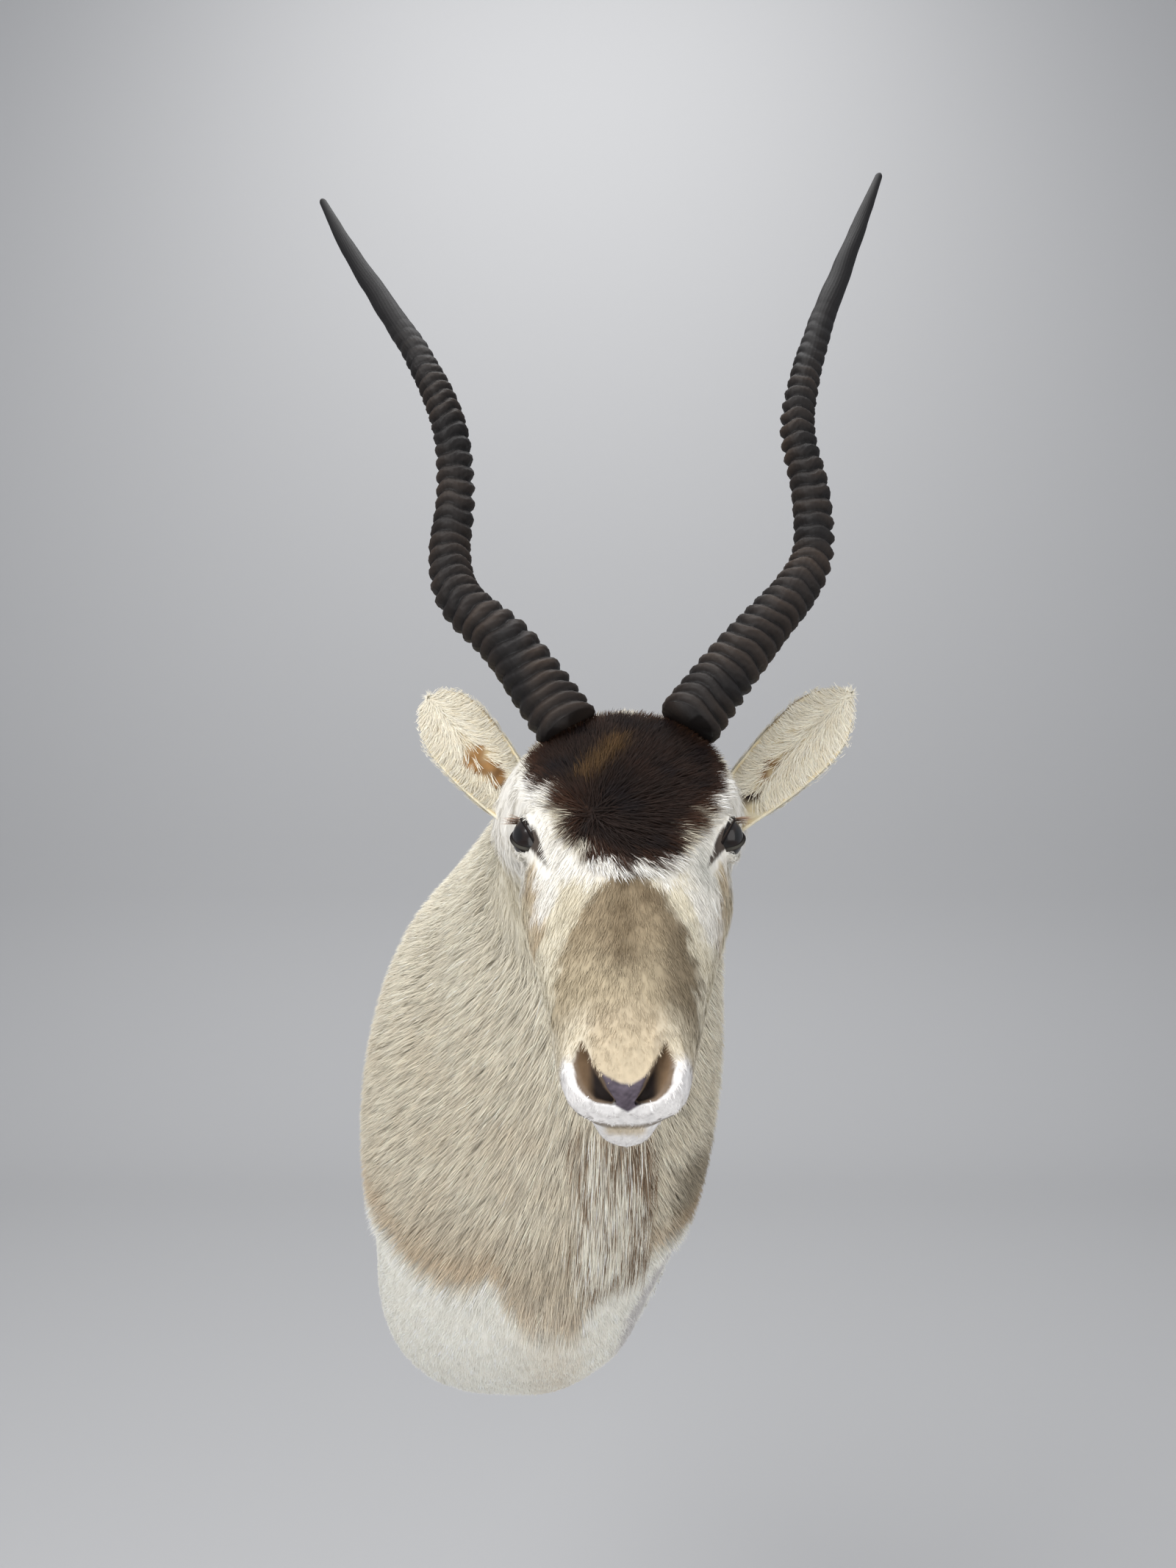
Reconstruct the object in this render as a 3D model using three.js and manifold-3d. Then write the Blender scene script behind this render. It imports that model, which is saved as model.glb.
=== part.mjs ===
// An addax shoulder mount for a wall: the hide over its form, two horns, two glass eyes,
// and the backboard with its hanger. Millimetres, +Z up, the wall is the plane Y = 0 and the
// head looks towards -Y. The animal's own left is +X, on the viewer's right.
import * as THREE from "three";
import { mergeVertices } from "three/addons/utils/BufferGeometryUtils.js";
import Module from "manifold-3d";

const wasm = await Module();
wasm.setup();

// Driving dimensions, head
const EYE_LINE = { x: 90.5, y: -571, z: 353 };
const FACE_SLOPE = { forward: 0.742, down: 0.67 };
const HEAD_TURN = 0.0265;
const MUZZLE_ROUND = 11;
const MUZZLE_ROUND_RINGS = 4;
const FIT_GAP = 0.4;
const SIMPLIFY = 0.3;

// Driving dimensions, hide
const RING_SIDES = 32;
const RINGS_PER_STATION = 2;
const LOCK_LIFT = 4.5;

// Driving dimensions, horns
const HORN_SIDES = 11;
const HORN_SUNK = 14;
const RIDGE_CREST = 1.6;
const RIDGE_GROOVE = 0.7;
const RIDGE_FIRST = 8;
const RIDGE_PITCH_BASE = 11;
const RIDGE_PITCH_END = 15;
const RIDGES_END = 0.66;
const HORN_TIP_STEPS = 9;
const HORN_SOCKET = 0.12;

// Driving dimensions, eyes and ears
const EYE_RADIUS = 16.5;
const EYE_HALF_SPREAD = 63.5;
const EYE_AHEAD = 0.5;
const EAR_THICKNESS = 4;
const EAR_STEPS = 9;
const EAR_ACROSS = 8;
const EAR_ROOT_HALF = 14;
const EAR_HALF_GAIN = 12;
const EAR_WIDEST = 0.62;
const EAR_ROLL = { root: 3.1, tip: 1.25 };
const EAR_SET_BACK = 6;

// Driving dimensions, backboard and hanger
const BOARD = { width: 250, height: 420, thick: 18, centreZ: -5, corner: 70 };
const PLATE = { width: 22, height: 62, thick: 2, recess: 2.6, centreZ: 150 };
const KEYHOLE = { radius: 6, depth: 10, clearance: 2 };
const SCREW = {
  headRadius: 3.6, headThick: 1.5, shankRadius: 1.6, length: 13, spread: 22, point: 2, proud: 0.3,
};
const SCREW_HOLE_DEPTH = 16;
const CUT_START = 1;

// The loft of the hide, from the wall to the nose. Each row holds the top point (Y, Z), the
// bottom point (Y, Z), the level of the widest line between them (0 bottom, 1 top), the
// centre X, the half widths on the -X and +X sides, and the roundness of the upper half and
// of the lower half on the -X and +X sides (2 is an ellipse, more is squarer).
const LOFT = [
  [0, 316, 0, -305, 0.47, 1, 188, 193, 2.0, 3.3, 1.8],
  [-55, 328, -45, -290, 0.47, 2, 187, 190, 2.0, 3.2, 1.8],
  [-120, 342, -120, -243, 0.48, 12, 178, 174, 2.0, 2.6, 1.8],
  [-190, 361, -190, -186, 0.5, 28, 163, 160, 2.0, 2.2, 1.8],
  [-260, 383, -255, -112, 0.53, 48, 142, 139, 2.0, 2.0, 1.8],
  [-325, 403, -318, -25, 0.56, 64, 121, 116, 2.1, 2.0, 1.9],
  [-380, 421, -370, 60, 0.6, 76, 105, 100, 2.1, 2.0, 2.0],
  [-425, 433, -410, 130, 0.62, 83, 95, 90, 2.1, 1.9, 1.9],
  [-462, 439, -432, 185, 0.63, 87, 92, 88, 2.1, 1.9, 1.9],
  [-495, 441, -447, 222, 0.64, 89, 94, 88, 2.0, 1.8, 1.8],
  [-523, 437, -460, 243, 0.66, 90, 93, 87, 2.0, 1.7, 1.7],
  [-549, 420, -474, 252, 0.68, 90, 84, 81, 2.2, 1.6, 1.6],
  [-572, 398, -490, 253, 0.7, 90, 77, 77, 2.3, 1.6, 1.6],
  [-594, 372, -510, 247, 0.72, 90, 76, 76, 2.3, 1.6, 1.6],
  [-624, 336, -545, 233, 0.68, 89, 68, 68, 2.2, 1.8, 1.8],
  [-655, 297, -588, 213, 0.6, 88, 58, 58, 2.2, 2.0, 2.0],
  [-683, 265, -624, 197, 0.54, 87, 49, 49, 2.2, 2.2, 2.2],
  [-699, 247, -648, 186, 0.52, 86, 43, 43, 2.2, 2.0, 2.0],
  [-711, 232, -667, 177, 0.56, 86, 38, 38, 2.3, 1.7, 1.7],
  [-719, 220, -681, 171, 0.62, 86, 34, 34, 2.3, 1.5, 1.5],
];

// Soft swellings and hollows of the head, in head terms: distance from the middle plane,
// distance down the face from the eyes, height over the eye line, their reach in the same
// three directions, and how far they stand out (negative is a hollow).
const HEAD_FORMS = [
  [62, -14, 26, 24, 30, 16, 7],
  [68, 8, -12, 30, 22, 15, -6],
  [62, 40, -34, 26, 40, 14, 5],
  [50, 70, -8, 20, 34, 22, -6],
  [52, -10, -90, 26, 42, 34, 6],
  [44, 110, -48, 20, 34, 16, -4],
  [0, 120, 12, 30, 50, 20, 3],
  [32, 190, -8, 14, 18, 14, 4],
];

// Soft swellings and hollows of the neck and chest: centre X, Y, Z, reach in X, Y, Z, height.
const CHEST_FORMS = [
  [85, -170, -185, 42, 90, 100, 14],
  [165, -100, -190, 50, 90, 90, -24],
  [-75, -190, 190, 45, 120, 130, -14],
  [-190, -20, -115, 40, 80, 70, -12],
];

// Each horn's middle line from the skull to the tip, X, Y, Z.
const HORN_LINES = {
  right: [
    [42, -520, 440], [3, -490, 494], [-37, -455, 535], [-48, -430, 575], [-46, -408, 629],
    [-55, -380, 694], [-83, -338, 760], [-126, -288, 833], [-166, -243, 901], [-199, -201, 965],
  ],
  left: [
    [143, -520, 443], [173, -495, 481], [201, -468, 513], [228, -443, 544], [245, -423, 577],
    [247, -402, 629], [241, -374, 689], [252, -346, 743], [272, -313, 803], [298, -276, 866],
    [350, -202, 990],
  ],
};

// Horn radius at even steps from the skull to the tip.
const HORN_RADIUS = [22.4, 20, 17.2, 15.2, 14, 13, 11.9, 10.6, 8.8, 6.4, 3.4];

// Each ear: root inside the head and tip.
const EARS = [
  { root: [19, -510, 366], tip: [-70, -400, 463], side: -1 },
  { root: [164, -510, 366], tip: [283, -400, 467], side: 1 },
];

const clamp = (x, lo, hi) => Math.min(hi, Math.max(lo, x));

// A smooth line through rows of numbers at t, counted in rows.
function throughRows(rows, t) {
  const last = rows.length - 1;
  const at = clamp(t, 0, last);
  const i = Math.min(Math.floor(at), last - 1);
  const f = at - i;
  return rows[i].map((_, k) => {
    const b = rows[i][k];
    const c = rows[i + 1][k];
    const a = i > 0 ? rows[i - 1][k] : 2 * b - c;
    const d = i < last - 1 ? rows[i + 2][k] : 2 * c - b;
    const slope = c - a;
    const bend = 2 * a - 5 * b + 4 * c - d;
    const twist = 3 * b - a - 3 * c + d;
    return 0.5 * (2 * b + slope * f + bend * f * f + twist * f * f * f);
  });
}

// How far the hide stands out of the plain loft at a point.
function relief(p) {
  const back = p.y - EYE_LINE.y;
  const up = p.z - EYE_LINE.z;
  const along = -FACE_SLOPE.forward * back - FACE_SLOPE.down * up;
  const over = -FACE_SLOPE.down * back + FACE_SLOPE.forward * up;
  const aside = Math.abs(p.x - (EYE_LINE.x - HEAD_TURN * along));
  const swell = (at, form) => {
    const far = at.reduce((sum, v, k) => sum + ((v - form[k]) / form[k + 3]) ** 2, 0);
    return form[6] * Math.exp(-far);
  };
  let out = 0;
  for (const form of HEAD_FORMS) out += swell([aside, along, over], form);
  for (const form of CHEST_FORMS) out += swell([p.x, p.y, p.z], form);
  return out;
}

// One point of the hide at station t and angle around the loft; 0 is +X, a quarter turn is up.
// shrink draws the ring in and ahead carries it forward, for the rounded end of the muzzle.
function hidePoint(t, angle, shrink = 1, ahead = 0) {
  const [topY, topZ, lowY, lowZ, level, midX, wideR, wideL, roundTop, roundR, roundL] =
    throughRows(LOFT, t);
  const top = new THREE.Vector3(midX, topY, topZ);
  const low = new THREE.Vector3(midX, lowY, lowZ);
  const mid = low.clone().lerp(top, level);
  const across = Math.cos(angle);
  const upward = Math.sin(angle);
  const roundLow = across < 0 ? roundR : roundL;
  const n = upward >= 0 ? roundTop : roundLow;
  const reach = (Math.abs(across) ** n + Math.abs(upward) ** n) ** (-1 / n);
  const wide = across < 0 ? wideR : wideL;
  const point = mid.clone();
  const pole = upward >= 0 ? top : low;
  point.add(pole.sub(mid).multiplyScalar(Math.abs(upward) * reach * shrink));
  point.x += wide * across * reach * shrink;
  const rise = new THREE.Vector3(0, topY - lowY, topZ - lowZ).normalize();
  point.add(new THREE.Vector3(0, -rise.z, rise.y).multiplyScalar(ahead));
  const away = point.clone().sub(mid);
  if (away.length() > 1e-6) point.add(away.normalize().multiplyScalar(relief(point)));
  return point;
}

// A closed mesh over rings of points, all rings with the same count. The end closes in a fan
// to its point, and so does the start, unless the rings are bent leaves: then its two faces,
// which hold the first and the last half of the ring's points, are closed by a strip.
function meshOverRings(rings, startPoint, endPoint, leaf = false) {
  const sides = rings[0].length;
  const ends = leaf ? [endPoint] : [startPoint, endPoint];
  const positions = rings.flat().concat(ends).flatMap((p) => [p.x, p.y, p.z]);
  const index = [];
  const start = rings.length * sides;
  const end = start + ends.length - 1;
  for (let i = 0; i < rings.length - 1; i++) {
    for (let j = 0; j < sides; j++) {
      const k = (j + 1) % sides;
      const a = i * sides;
      const b = a + sides;
      index.push(a + j, a + k, b + k, a + j, b + k, b + j);
    }
  }
  const lastRing = start - sides;
  for (let j = 0; j < sides; j++) {
    const k = (j + 1) % sides;
    if (!leaf) index.push(start, k, j);
    index.push(end, lastRing + j, lastRing + k);
  }
  for (let j = 0; leaf && j < sides / 2 - 1; j++) {
    const far = sides - 1 - j;
    index.push(j + 1, j, far, j + 1, far, far - 1);
  }
  const geometry = new THREE.BufferGeometry();
  geometry.setAttribute("position", new THREE.Float32BufferAttribute(positions, 3));
  geometry.setIndex(index);
  return geometry;
}

const centreOf = (ring) =>
  ring.reduce((sum, p) => sum.add(p), new THREE.Vector3()).divideScalar(ring.length);

// The solid of a geometry, ready to be joined or cut.
function solid(geometry) {
  const bare = geometry.clone();
  bare.deleteAttribute("normal");
  bare.deleteAttribute("uv");
  const merged = mergeVertices(bare, 1e-4);
  return new wasm.Manifold(new wasm.Mesh({
    numProp: 3,
    vertProperties: new Float32Array(merged.attributes.position.array),
    triVerts: new Uint32Array(merged.index.array),
  }));
}

function geometryOf(body) {
  const mesh = body.getMesh();
  const geometry = new THREE.BufferGeometry();
  geometry.setAttribute("position", new THREE.Float32BufferAttribute(mesh.vertProperties, 3));
  geometry.setIndex(Array.from(mesh.triVerts));
  return geometry;
}

function named(name, geometry, colour, roughness, metalness = 0) {
  const material = new THREE.MeshStandardMaterial({ color: colour, roughness, metalness });
  const mesh = new THREE.Mesh(geometry, material);
  mesh.name = name;
  return mesh;
}

// The hide over its form, without ears: rings from the wall to the muzzle, then a rounded end.
function hideBody() {
  const rings = [];
  const angles = Array.from({ length: RING_SIDES }, (_, j) => (2 * Math.PI * j) / RING_SIDES);
  const lastStation = LOFT.length - 1;
  for (let i = 0; i <= lastStation * RINGS_PER_STATION; i++) {
    rings.push(angles.map((angle) => hidePoint(i / RINGS_PER_STATION, angle)));
  }
  for (let i = 1; i < MUZZLE_ROUND_RINGS; i++) {
    const turn = (Math.PI / 2) * (i / MUZZLE_ROUND_RINGS);
    const shrink = Math.cos(turn) ** 0.75;
    const ahead = MUZZLE_ROUND * Math.sin(turn);
    rings.push(angles.map((angle) => hidePoint(lastStation, angle, shrink, ahead)));
  }
  const nose = hidePoint(lastStation, 0, 0, MUZZLE_ROUND);
  return meshOverRings(rings, centreOf(rings[0]), nose);
}

// One ear: a leaf rolled into a cup that opens forwards, thick enough to be one solid with
// the head. a runs from the root to the tip, b across the leaf, from -1 to 1.
function earBody({ root, tip, side }) {
  const start = new THREE.Vector3(...root);
  const end = new THREE.Vector3(...tip);
  const axis = end.clone().sub(start).normalize();
  const facing = new THREE.Vector3(0, -1, 0).addScaledVector(axis, axis.y).normalize();
  const edgeward = new THREE.Vector3().crossVectors(axis, facing).multiplyScalar(-side);
  const rings = [];
  for (let i = 0; i < EAR_STEPS; i++) {
    const a = i / EAR_STEPS;
    const centre = start.clone().lerp(end, a);
    const halfTurn = (EAR_ROLL.root + (EAR_ROLL.tip - EAR_ROLL.root) * a) / 2;
    const radius = earHalfWidth(a) / Math.sin(halfTurn);
    const leafPoint = (b, sunk) => centre.clone()
      .addScaledVector(edgeward, (radius + sunk) * Math.sin(b * halfTurn))
      .addScaledVector(facing, radius - (radius + sunk) * Math.cos(b * halfTurn) - EAR_SET_BACK);
    const thick = EAR_THICKNESS * (1 - 0.6 * a);
    const across = Array.from({ length: EAR_ACROSS }, (_, j) => -1 + (2 * j) / (EAR_ACROSS - 1));
    const ring = across.map((b) => leafPoint(b, 0));
    ring.push(...across.map((b) => leafPoint(-b, thick)));
    rings.push(side > 0 ? ring : ring.reverse());
  }
  return meshOverRings(rings, null, end, true);
}

// Half the width of the ear from root to tip: narrow foot, widest past the middle, round tip.
function earHalfWidth(a) {
  const rising = EAR_ROOT_HALF + EAR_HALF_GAIN * Math.sin((Math.PI / 2) * clamp(a / EAR_WIDEST, 0, 1));
  const past = Math.max(a - EAR_WIDEST, 0) / (1 - EAR_WIDEST);
  return rising * Math.sqrt(1 - 0.97 * past ** 2);
}

// How far along its line each ring of a horn lies, and how far the ring stands out of the
// plain taper: grooves and crests in turn over the lower part, then a smooth tip.
function hornStops(total) {
  const stops = [[-HORN_SUNK, 0], [0, 0]];
  let length = RIDGE_FIRST;
  while (length < total * RIDGES_END) {
    const f = length / total;
    const pitch = RIDGE_PITCH_BASE + (RIDGE_PITCH_END - RIDGE_PITCH_BASE) * (f / RIDGES_END);
    const fade = clamp((RIDGES_END - f) * 4, 0.25, 1);
    stops.push([length, -RIDGE_GROOVE * fade], [length + 0.55 * pitch, RIDGE_CREST * fade]);
    length += pitch;
  }
  for (let i = 0; i <= HORN_TIP_STEPS; i++) {
    stops.push([length + ((total - length) * i) / HORN_TIP_STEPS, 0]);
  }
  return stops;
}

// Rings of a horn, each square to its middle line, as far as the given share of its length.
function hornRings(line, grow, share) {
  const rows = HORN_LINES[line];
  const lastRow = rows.length - 1;
  const radii = HORN_RADIUS.map((r) => [r]);
  const at = (t) => new THREE.Vector3(...throughRows(rows, t));
  const FINE = 400;
  const lengths = [0];
  for (let i = 1; i <= FINE; i++) {
    const step = at((lastRow * i) / FINE).distanceTo(at((lastRow * (i - 1)) / FINE));
    lengths.push(lengths[i - 1] + step);
  }
  const total = lengths[FINE];
  const rowAt = (length) => {
    const i = clamp(lengths.findIndex((l) => l >= length), 1, FINE);
    const f = (length - lengths[i - 1]) / (lengths[i] - lengths[i - 1]);
    return (lastRow * (i - 1 + f)) / FINE;
  };
  return hornStops(total).filter(([l]) => l <= total * share).map(([l, ridge]) => {
    const t = rowAt(Math.max(l, 0));
    const ahead = at(Math.min(t + 0.02, lastRow));
    const axis = ahead.sub(at(Math.max(t - 0.02, 0))).normalize();
    const front = new THREE.Vector3(0, -1, 0).addScaledVector(axis, axis.y).normalize();
    const aside = new THREE.Vector3().crossVectors(axis, front);
    const centre = at(t).addScaledVector(axis, l < 0 ? l - grow : 0);
    const f = clamp(l / total, 0, 1);
    const [radius] = throughRows(radii, f * (radii.length - 1));
    const r = radius + ridge + grow;
    return Array.from({ length: HORN_SIDES }, (_, j) => {
      const angle = (2 * Math.PI * j) / HORN_SIDES;
      return centre.clone()
        .addScaledVector(front, r * Math.cos(angle))
        .addScaledVector(aside, r * Math.sin(angle));
    });
  });
}

function hornBody(line, grow = 0, share = 1) {
  const rings = hornRings(line, grow, share);
  return meshOverRings(rings, centreOf(rings[0]), centreOf(rings[rings.length - 1]));
}

// A glass eye, set in the head so that its front shows between the lids.
function eyeBall(side, grow = 0) {
  const ball = new THREE.SphereGeometry(EYE_RADIUS + grow, 12, 8);
  return ball.translate(EYE_LINE.x + side * EYE_HALF_SPREAD, EYE_LINE.y - EYE_AHEAD, EYE_LINE.z);
}

// A flat slab standing upright against the wall side: outline in X and Z, from Y = back to front.
function slab(shape, backY, thick) {
  const geometry = new THREE.ExtrudeGeometry(shape, {
    depth: thick, bevelEnabled: false, curveSegments: 6,
  });
  return geometry.rotateX(Math.PI / 2).translate(0, backY, 0);
}

// The backboard's outline: a rectangle with wide round corners.
function boardShape(grow) {
  const w = BOARD.width / 2 + grow;
  const h = BOARD.height / 2 + grow;
  const r = BOARD.corner;
  const z = BOARD.centreZ;
  const shape = new THREE.Shape();
  shape.moveTo(-w + r, z - h);
  shape.lineTo(w - r, z - h);
  shape.absarc(w - r, z - h + r, r, -Math.PI / 2, 0);
  shape.lineTo(w, z + h - r);
  shape.absarc(w - r, z + h - r, r, 0, Math.PI / 2);
  shape.lineTo(-w + r, z + h);
  shape.absarc(-w + r, z + h - r, r, Math.PI / 2, Math.PI);
  shape.lineTo(-w, z - h + r);
  shape.absarc(-w + r, z - h + r, r, Math.PI, Math.PI * 1.5);
  return shape;
}

function plateShape(grow) {
  const w = PLATE.width / 2 + grow;
  const h = PLATE.height / 2 + grow;
  const z = PLATE.centreZ;
  const shape = new THREE.Shape();
  shape.moveTo(-w, z - h);
  shape.lineTo(w, z - h);
  shape.lineTo(w, z + h);
  shape.lineTo(-w, z + h);
  shape.closePath();
  return shape;
}

// A round bore or post along Y, from Y = back forwards into the board.
function post(radius, backY, length, z) {
  const shape = new THREE.Shape();
  shape.absarc(0, z, radius, 0, 2 * Math.PI);
  return slab(shape, backY, length);
}

const screwHeights = [PLATE.centreZ - SCREW.spread, PLATE.centreZ + SCREW.spread];
const plateBack = -PLATE.recess;

// A bore for a cut: it starts clear of the back face and ends at the given depth.
const bore = (radius, depth, z) => solid(post(radius, CUT_START, CUT_START + depth, z));

// The backboard, with a pocket for the hanger, room behind its hole, and the screws' pilots.
function board() {
  const pocketDepth = PLATE.recess + PLATE.thick + FIT_GAP;
  let body = solid(slab(boardShape(0), 0, BOARD.thick));
  body = body.subtract(solid(slab(plateShape(FIT_GAP), CUT_START, CUT_START + pocketDepth)));
  body = body.subtract(bore(KEYHOLE.radius + KEYHOLE.clearance, KEYHOLE.depth, PLATE.centreZ));
  for (const z of screwHeights) {
    body = body.subtract(bore(SCREW.shankRadius + FIT_GAP, SCREW_HOLE_DEPTH, z));
  }
  return geometryOf(body);
}

// The hanger: a flat steel plate with a round hole for the wall hook and two screw holes.
function hanger() {
  let body = solid(slab(plateShape(0), plateBack, PLATE.thick));
  body = body.subtract(bore(KEYHOLE.radius, KEYHOLE.depth, PLATE.centreZ));
  for (const z of screwHeights) {
    body = body.subtract(bore(SCREW.shankRadius + FIT_GAP, KEYHOLE.depth, z));
  }
  return geometryOf(body);
}

// A round-headed wood screw, its head on the hanger and its shank in the board.
function screw(z) {
  const { headRadius, headThick, shankRadius, length, point, proud } = SCREW;
  const profile = [
    [0, 0], [shankRadius * 0.3, 0], [shankRadius, point], [shankRadius, length],
    [headRadius, length], [headRadius * 0.9, length + headThick], [0, length + headThick],
  ].map(([r, y]) => new THREE.Vector2(r, y));
  return new THREE.LatheGeometry(profile, 12).translate(0, plateBack + proud - length, z);
}

// A lock of hair that stands a little proud of the hide: root at station t and angle, carried
// down by length, turned by sway along X. It is a thin spindle, fullest near its root.
function lock({ t, degrees, length, wide, sway }) {
  const FULLEST = 0.25;
  const SUNK = 0.6;
  const angle = THREE.MathUtils.degToRad(degrees);
  const root = hidePoint(t, angle);
  const round = hidePoint(t, angle + 0.05).sub(root);
  const along = hidePoint(t + 0.1, angle).sub(root);
  const out = new THREE.Vector3().crossVectors(round, along).normalize();
  const down = new THREE.Vector3(sway, 0, -1);
  down.addScaledVector(out, -down.dot(out)).normalize();
  const aside = new THREE.Vector3().crossVectors(down, out);
  const full = root.clone().addScaledVector(down, length * FULLEST);
  const ring = [
    full.clone().addScaledVector(out, LOCK_LIFT * SUNK),
    full.clone().addScaledVector(aside, wide / 2),
    full.clone().addScaledVector(out, -wide * SUNK),
    full.clone().addScaledVector(aside, -wide / 2),
  ];
  const tip = root.clone().addScaledVector(down, length).addScaledVector(out, LOCK_LIFT);
  return meshOverRings([ring], root.clone().addScaledVector(out, -1), tip);
}

// The locks that show from a step away: the ragged hem where the long coat ends over the
// white chest, the throat beard, the fringe of the dark forehead cap, and tufts on the neck.
function locks() {
  const row = (count, make) => Array.from({ length: count }, (_, i) => make(i, i / (count - 1)));
  const hem = row(14, (i, share) => {
    const degrees = 206 + 110 * share;
    const t = 2.3 - 1.9 * ((degrees - 280) / 75) ** 2;
    return { t, degrees, length: 34 + 6 * (i % 3), wide: 16, sway: -0.25 + 0.1 * (i % 4) };
  });
  const beard = row(12, (i) => (
    { t: 6.9 - 0.38 * i, degrees: 262 + 7 * (i % 3), length: 44, wide: 12, sway: 0.12 * ((i % 3) - 1) }
  ));
  const fringe = row(9, (_, share) => {
    const side = -1 + 2 * share;
    return { t: 13.9 - 1.1 * side ** 2, degrees: 90 - 48 * side, length: 17, wide: 9, sway: 0.3 * side };
  });
  const neck = row(15, (i) => (
    { t: 1.2 + 0.3 * i, degrees: 190 + 24 * (i % 3) + 75 * (i % 2), length: 30, wide: 10, sway: -0.2 }
  ));
  return [...hem, ...beard, ...fringe, ...neck];
}

// The cape: hide, ears and locks in one, cut for the backboard, the eyes and the horns.
function cape() {
  let body = solid(hideBody());
  for (const ear of EARS) body = body.add(solid(earBody(ear)));
  for (const each of locks()) body = body.add(solid(lock(each)));
  const boardRoom = slab(boardShape(FIT_GAP), CUT_START, CUT_START + BOARD.thick + FIT_GAP);
  body = body.subtract(solid(boardRoom));
  for (const side of [-1, 1]) body = body.subtract(solid(eyeBall(side, FIT_GAP)));
  for (const line of ["left", "right"]) {
    body = body.subtract(solid(hornBody(line, FIT_GAP, HORN_SOCKET)));
  }
  return geometryOf(body.simplify(SIMPLIFY));
}

const mount = new THREE.Group();
mount.add(named("cape", cape(), "#c9b899", 0.85));
mount.add(named("horn_left", hornBody("left"), "#35302c", 0.45));
mount.add(named("horn_right", hornBody("right"), "#35302c", 0.45));
mount.add(named("eye_left", eyeBall(1), "#14100e", 0.05));
mount.add(named("eye_right", eyeBall(-1), "#14100e", 0.05));
mount.add(named("backboard", board(), "#b08d5c", 0.7));
mount.add(named("hanger", hanger(), "#9a9c9e", 0.35, 1));
screwHeights.forEach((z, i) => {
  mount.add(named(`hanger_screw_${i + 1}`, screw(z), "#a5a7a9", 0.3, 1));
});

export default mount;
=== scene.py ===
import bpy
import numpy as np
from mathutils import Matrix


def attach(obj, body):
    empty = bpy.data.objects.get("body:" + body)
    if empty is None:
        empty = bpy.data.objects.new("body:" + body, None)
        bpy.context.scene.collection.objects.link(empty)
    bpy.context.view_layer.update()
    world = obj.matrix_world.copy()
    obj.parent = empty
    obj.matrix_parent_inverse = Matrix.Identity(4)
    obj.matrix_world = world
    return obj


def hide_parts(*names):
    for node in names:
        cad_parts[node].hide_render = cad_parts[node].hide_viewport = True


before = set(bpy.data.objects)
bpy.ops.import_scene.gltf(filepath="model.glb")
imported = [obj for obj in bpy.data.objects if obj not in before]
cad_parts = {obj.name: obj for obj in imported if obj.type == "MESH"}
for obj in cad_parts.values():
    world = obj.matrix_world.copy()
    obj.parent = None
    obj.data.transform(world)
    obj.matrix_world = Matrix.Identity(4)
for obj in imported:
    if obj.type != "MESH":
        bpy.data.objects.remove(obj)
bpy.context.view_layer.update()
scene = bpy.context.scene

# The hide: one tanned addax cape with its ears, glued over a carved foam form and tacked
# along its back edge. The skin is drawn a little inside the outline of its short coat.

# Each row of LOFT is a station from the wall to the nose: top point (Y, Z), bottom point
# (Y, Z), level of the widest line between them, centre X, half widths on the -X and +X
# sides, and the roundness of the upper half and of the lower half on the -X and +X sides
# (2 is an ellipse, more is squarer).
LOFT = np.array([
    [0, 316, 0, -305, 0.47, 1, 188, 193, 2.0, 3.3, 1.8],
    [-55, 328, -45, -290, 0.47, 2, 187, 190, 2.0, 3.2, 1.8],
    [-120, 342, -120, -243, 0.48, 12, 178, 174, 2.0, 2.6, 1.8],
    [-190, 361, -190, -186, 0.5, 28, 163, 160, 2.0, 2.2, 1.8],
    [-260, 383, -255, -112, 0.53, 48, 142, 139, 2.0, 2.0, 1.8],
    [-325, 403, -318, -25, 0.56, 64, 121, 116, 2.1, 2.0, 1.9],
    [-380, 421, -370, 60, 0.6, 76, 105, 100, 2.1, 2.0, 2.0],
    [-425, 433, -410, 130, 0.62, 83, 95, 90, 2.1, 1.9, 1.9],
    [-462, 439, -432, 185, 0.63, 87, 92, 88, 2.1, 1.9, 1.9],
    [-495, 441, -447, 222, 0.64, 89, 94, 88, 2.0, 1.8, 1.8],
    [-523, 437, -460, 243, 0.66, 90, 93, 87, 2.0, 1.7, 1.7],
    [-549, 420, -474, 252, 0.68, 90, 84, 81, 2.2, 1.6, 1.6],
    [-572, 398, -490, 253, 0.7, 90, 77, 77, 2.3, 1.6, 1.6],
    [-594, 372, -510, 247, 0.72, 90, 76, 76, 2.3, 1.6, 1.6],
    [-624, 336, -545, 233, 0.68, 89, 68, 68, 2.2, 1.8, 1.8],
    [-655, 297, -588, 213, 0.6, 88, 58, 58, 2.2, 2.0, 2.0],
    [-683, 265, -624, 197, 0.54, 87, 49, 49, 2.2, 2.2, 2.2],
    [-699, 247, -648, 186, 0.52, 86, 43, 43, 2.2, 2.0, 2.0],
    [-711, 232, -667, 177, 0.56, 86, 38, 38, 2.3, 1.7, 1.7],
    [-719, 220, -681, 171, 0.62, 86, 34, 34, 2.3, 1.5, 1.5],
])
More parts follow.
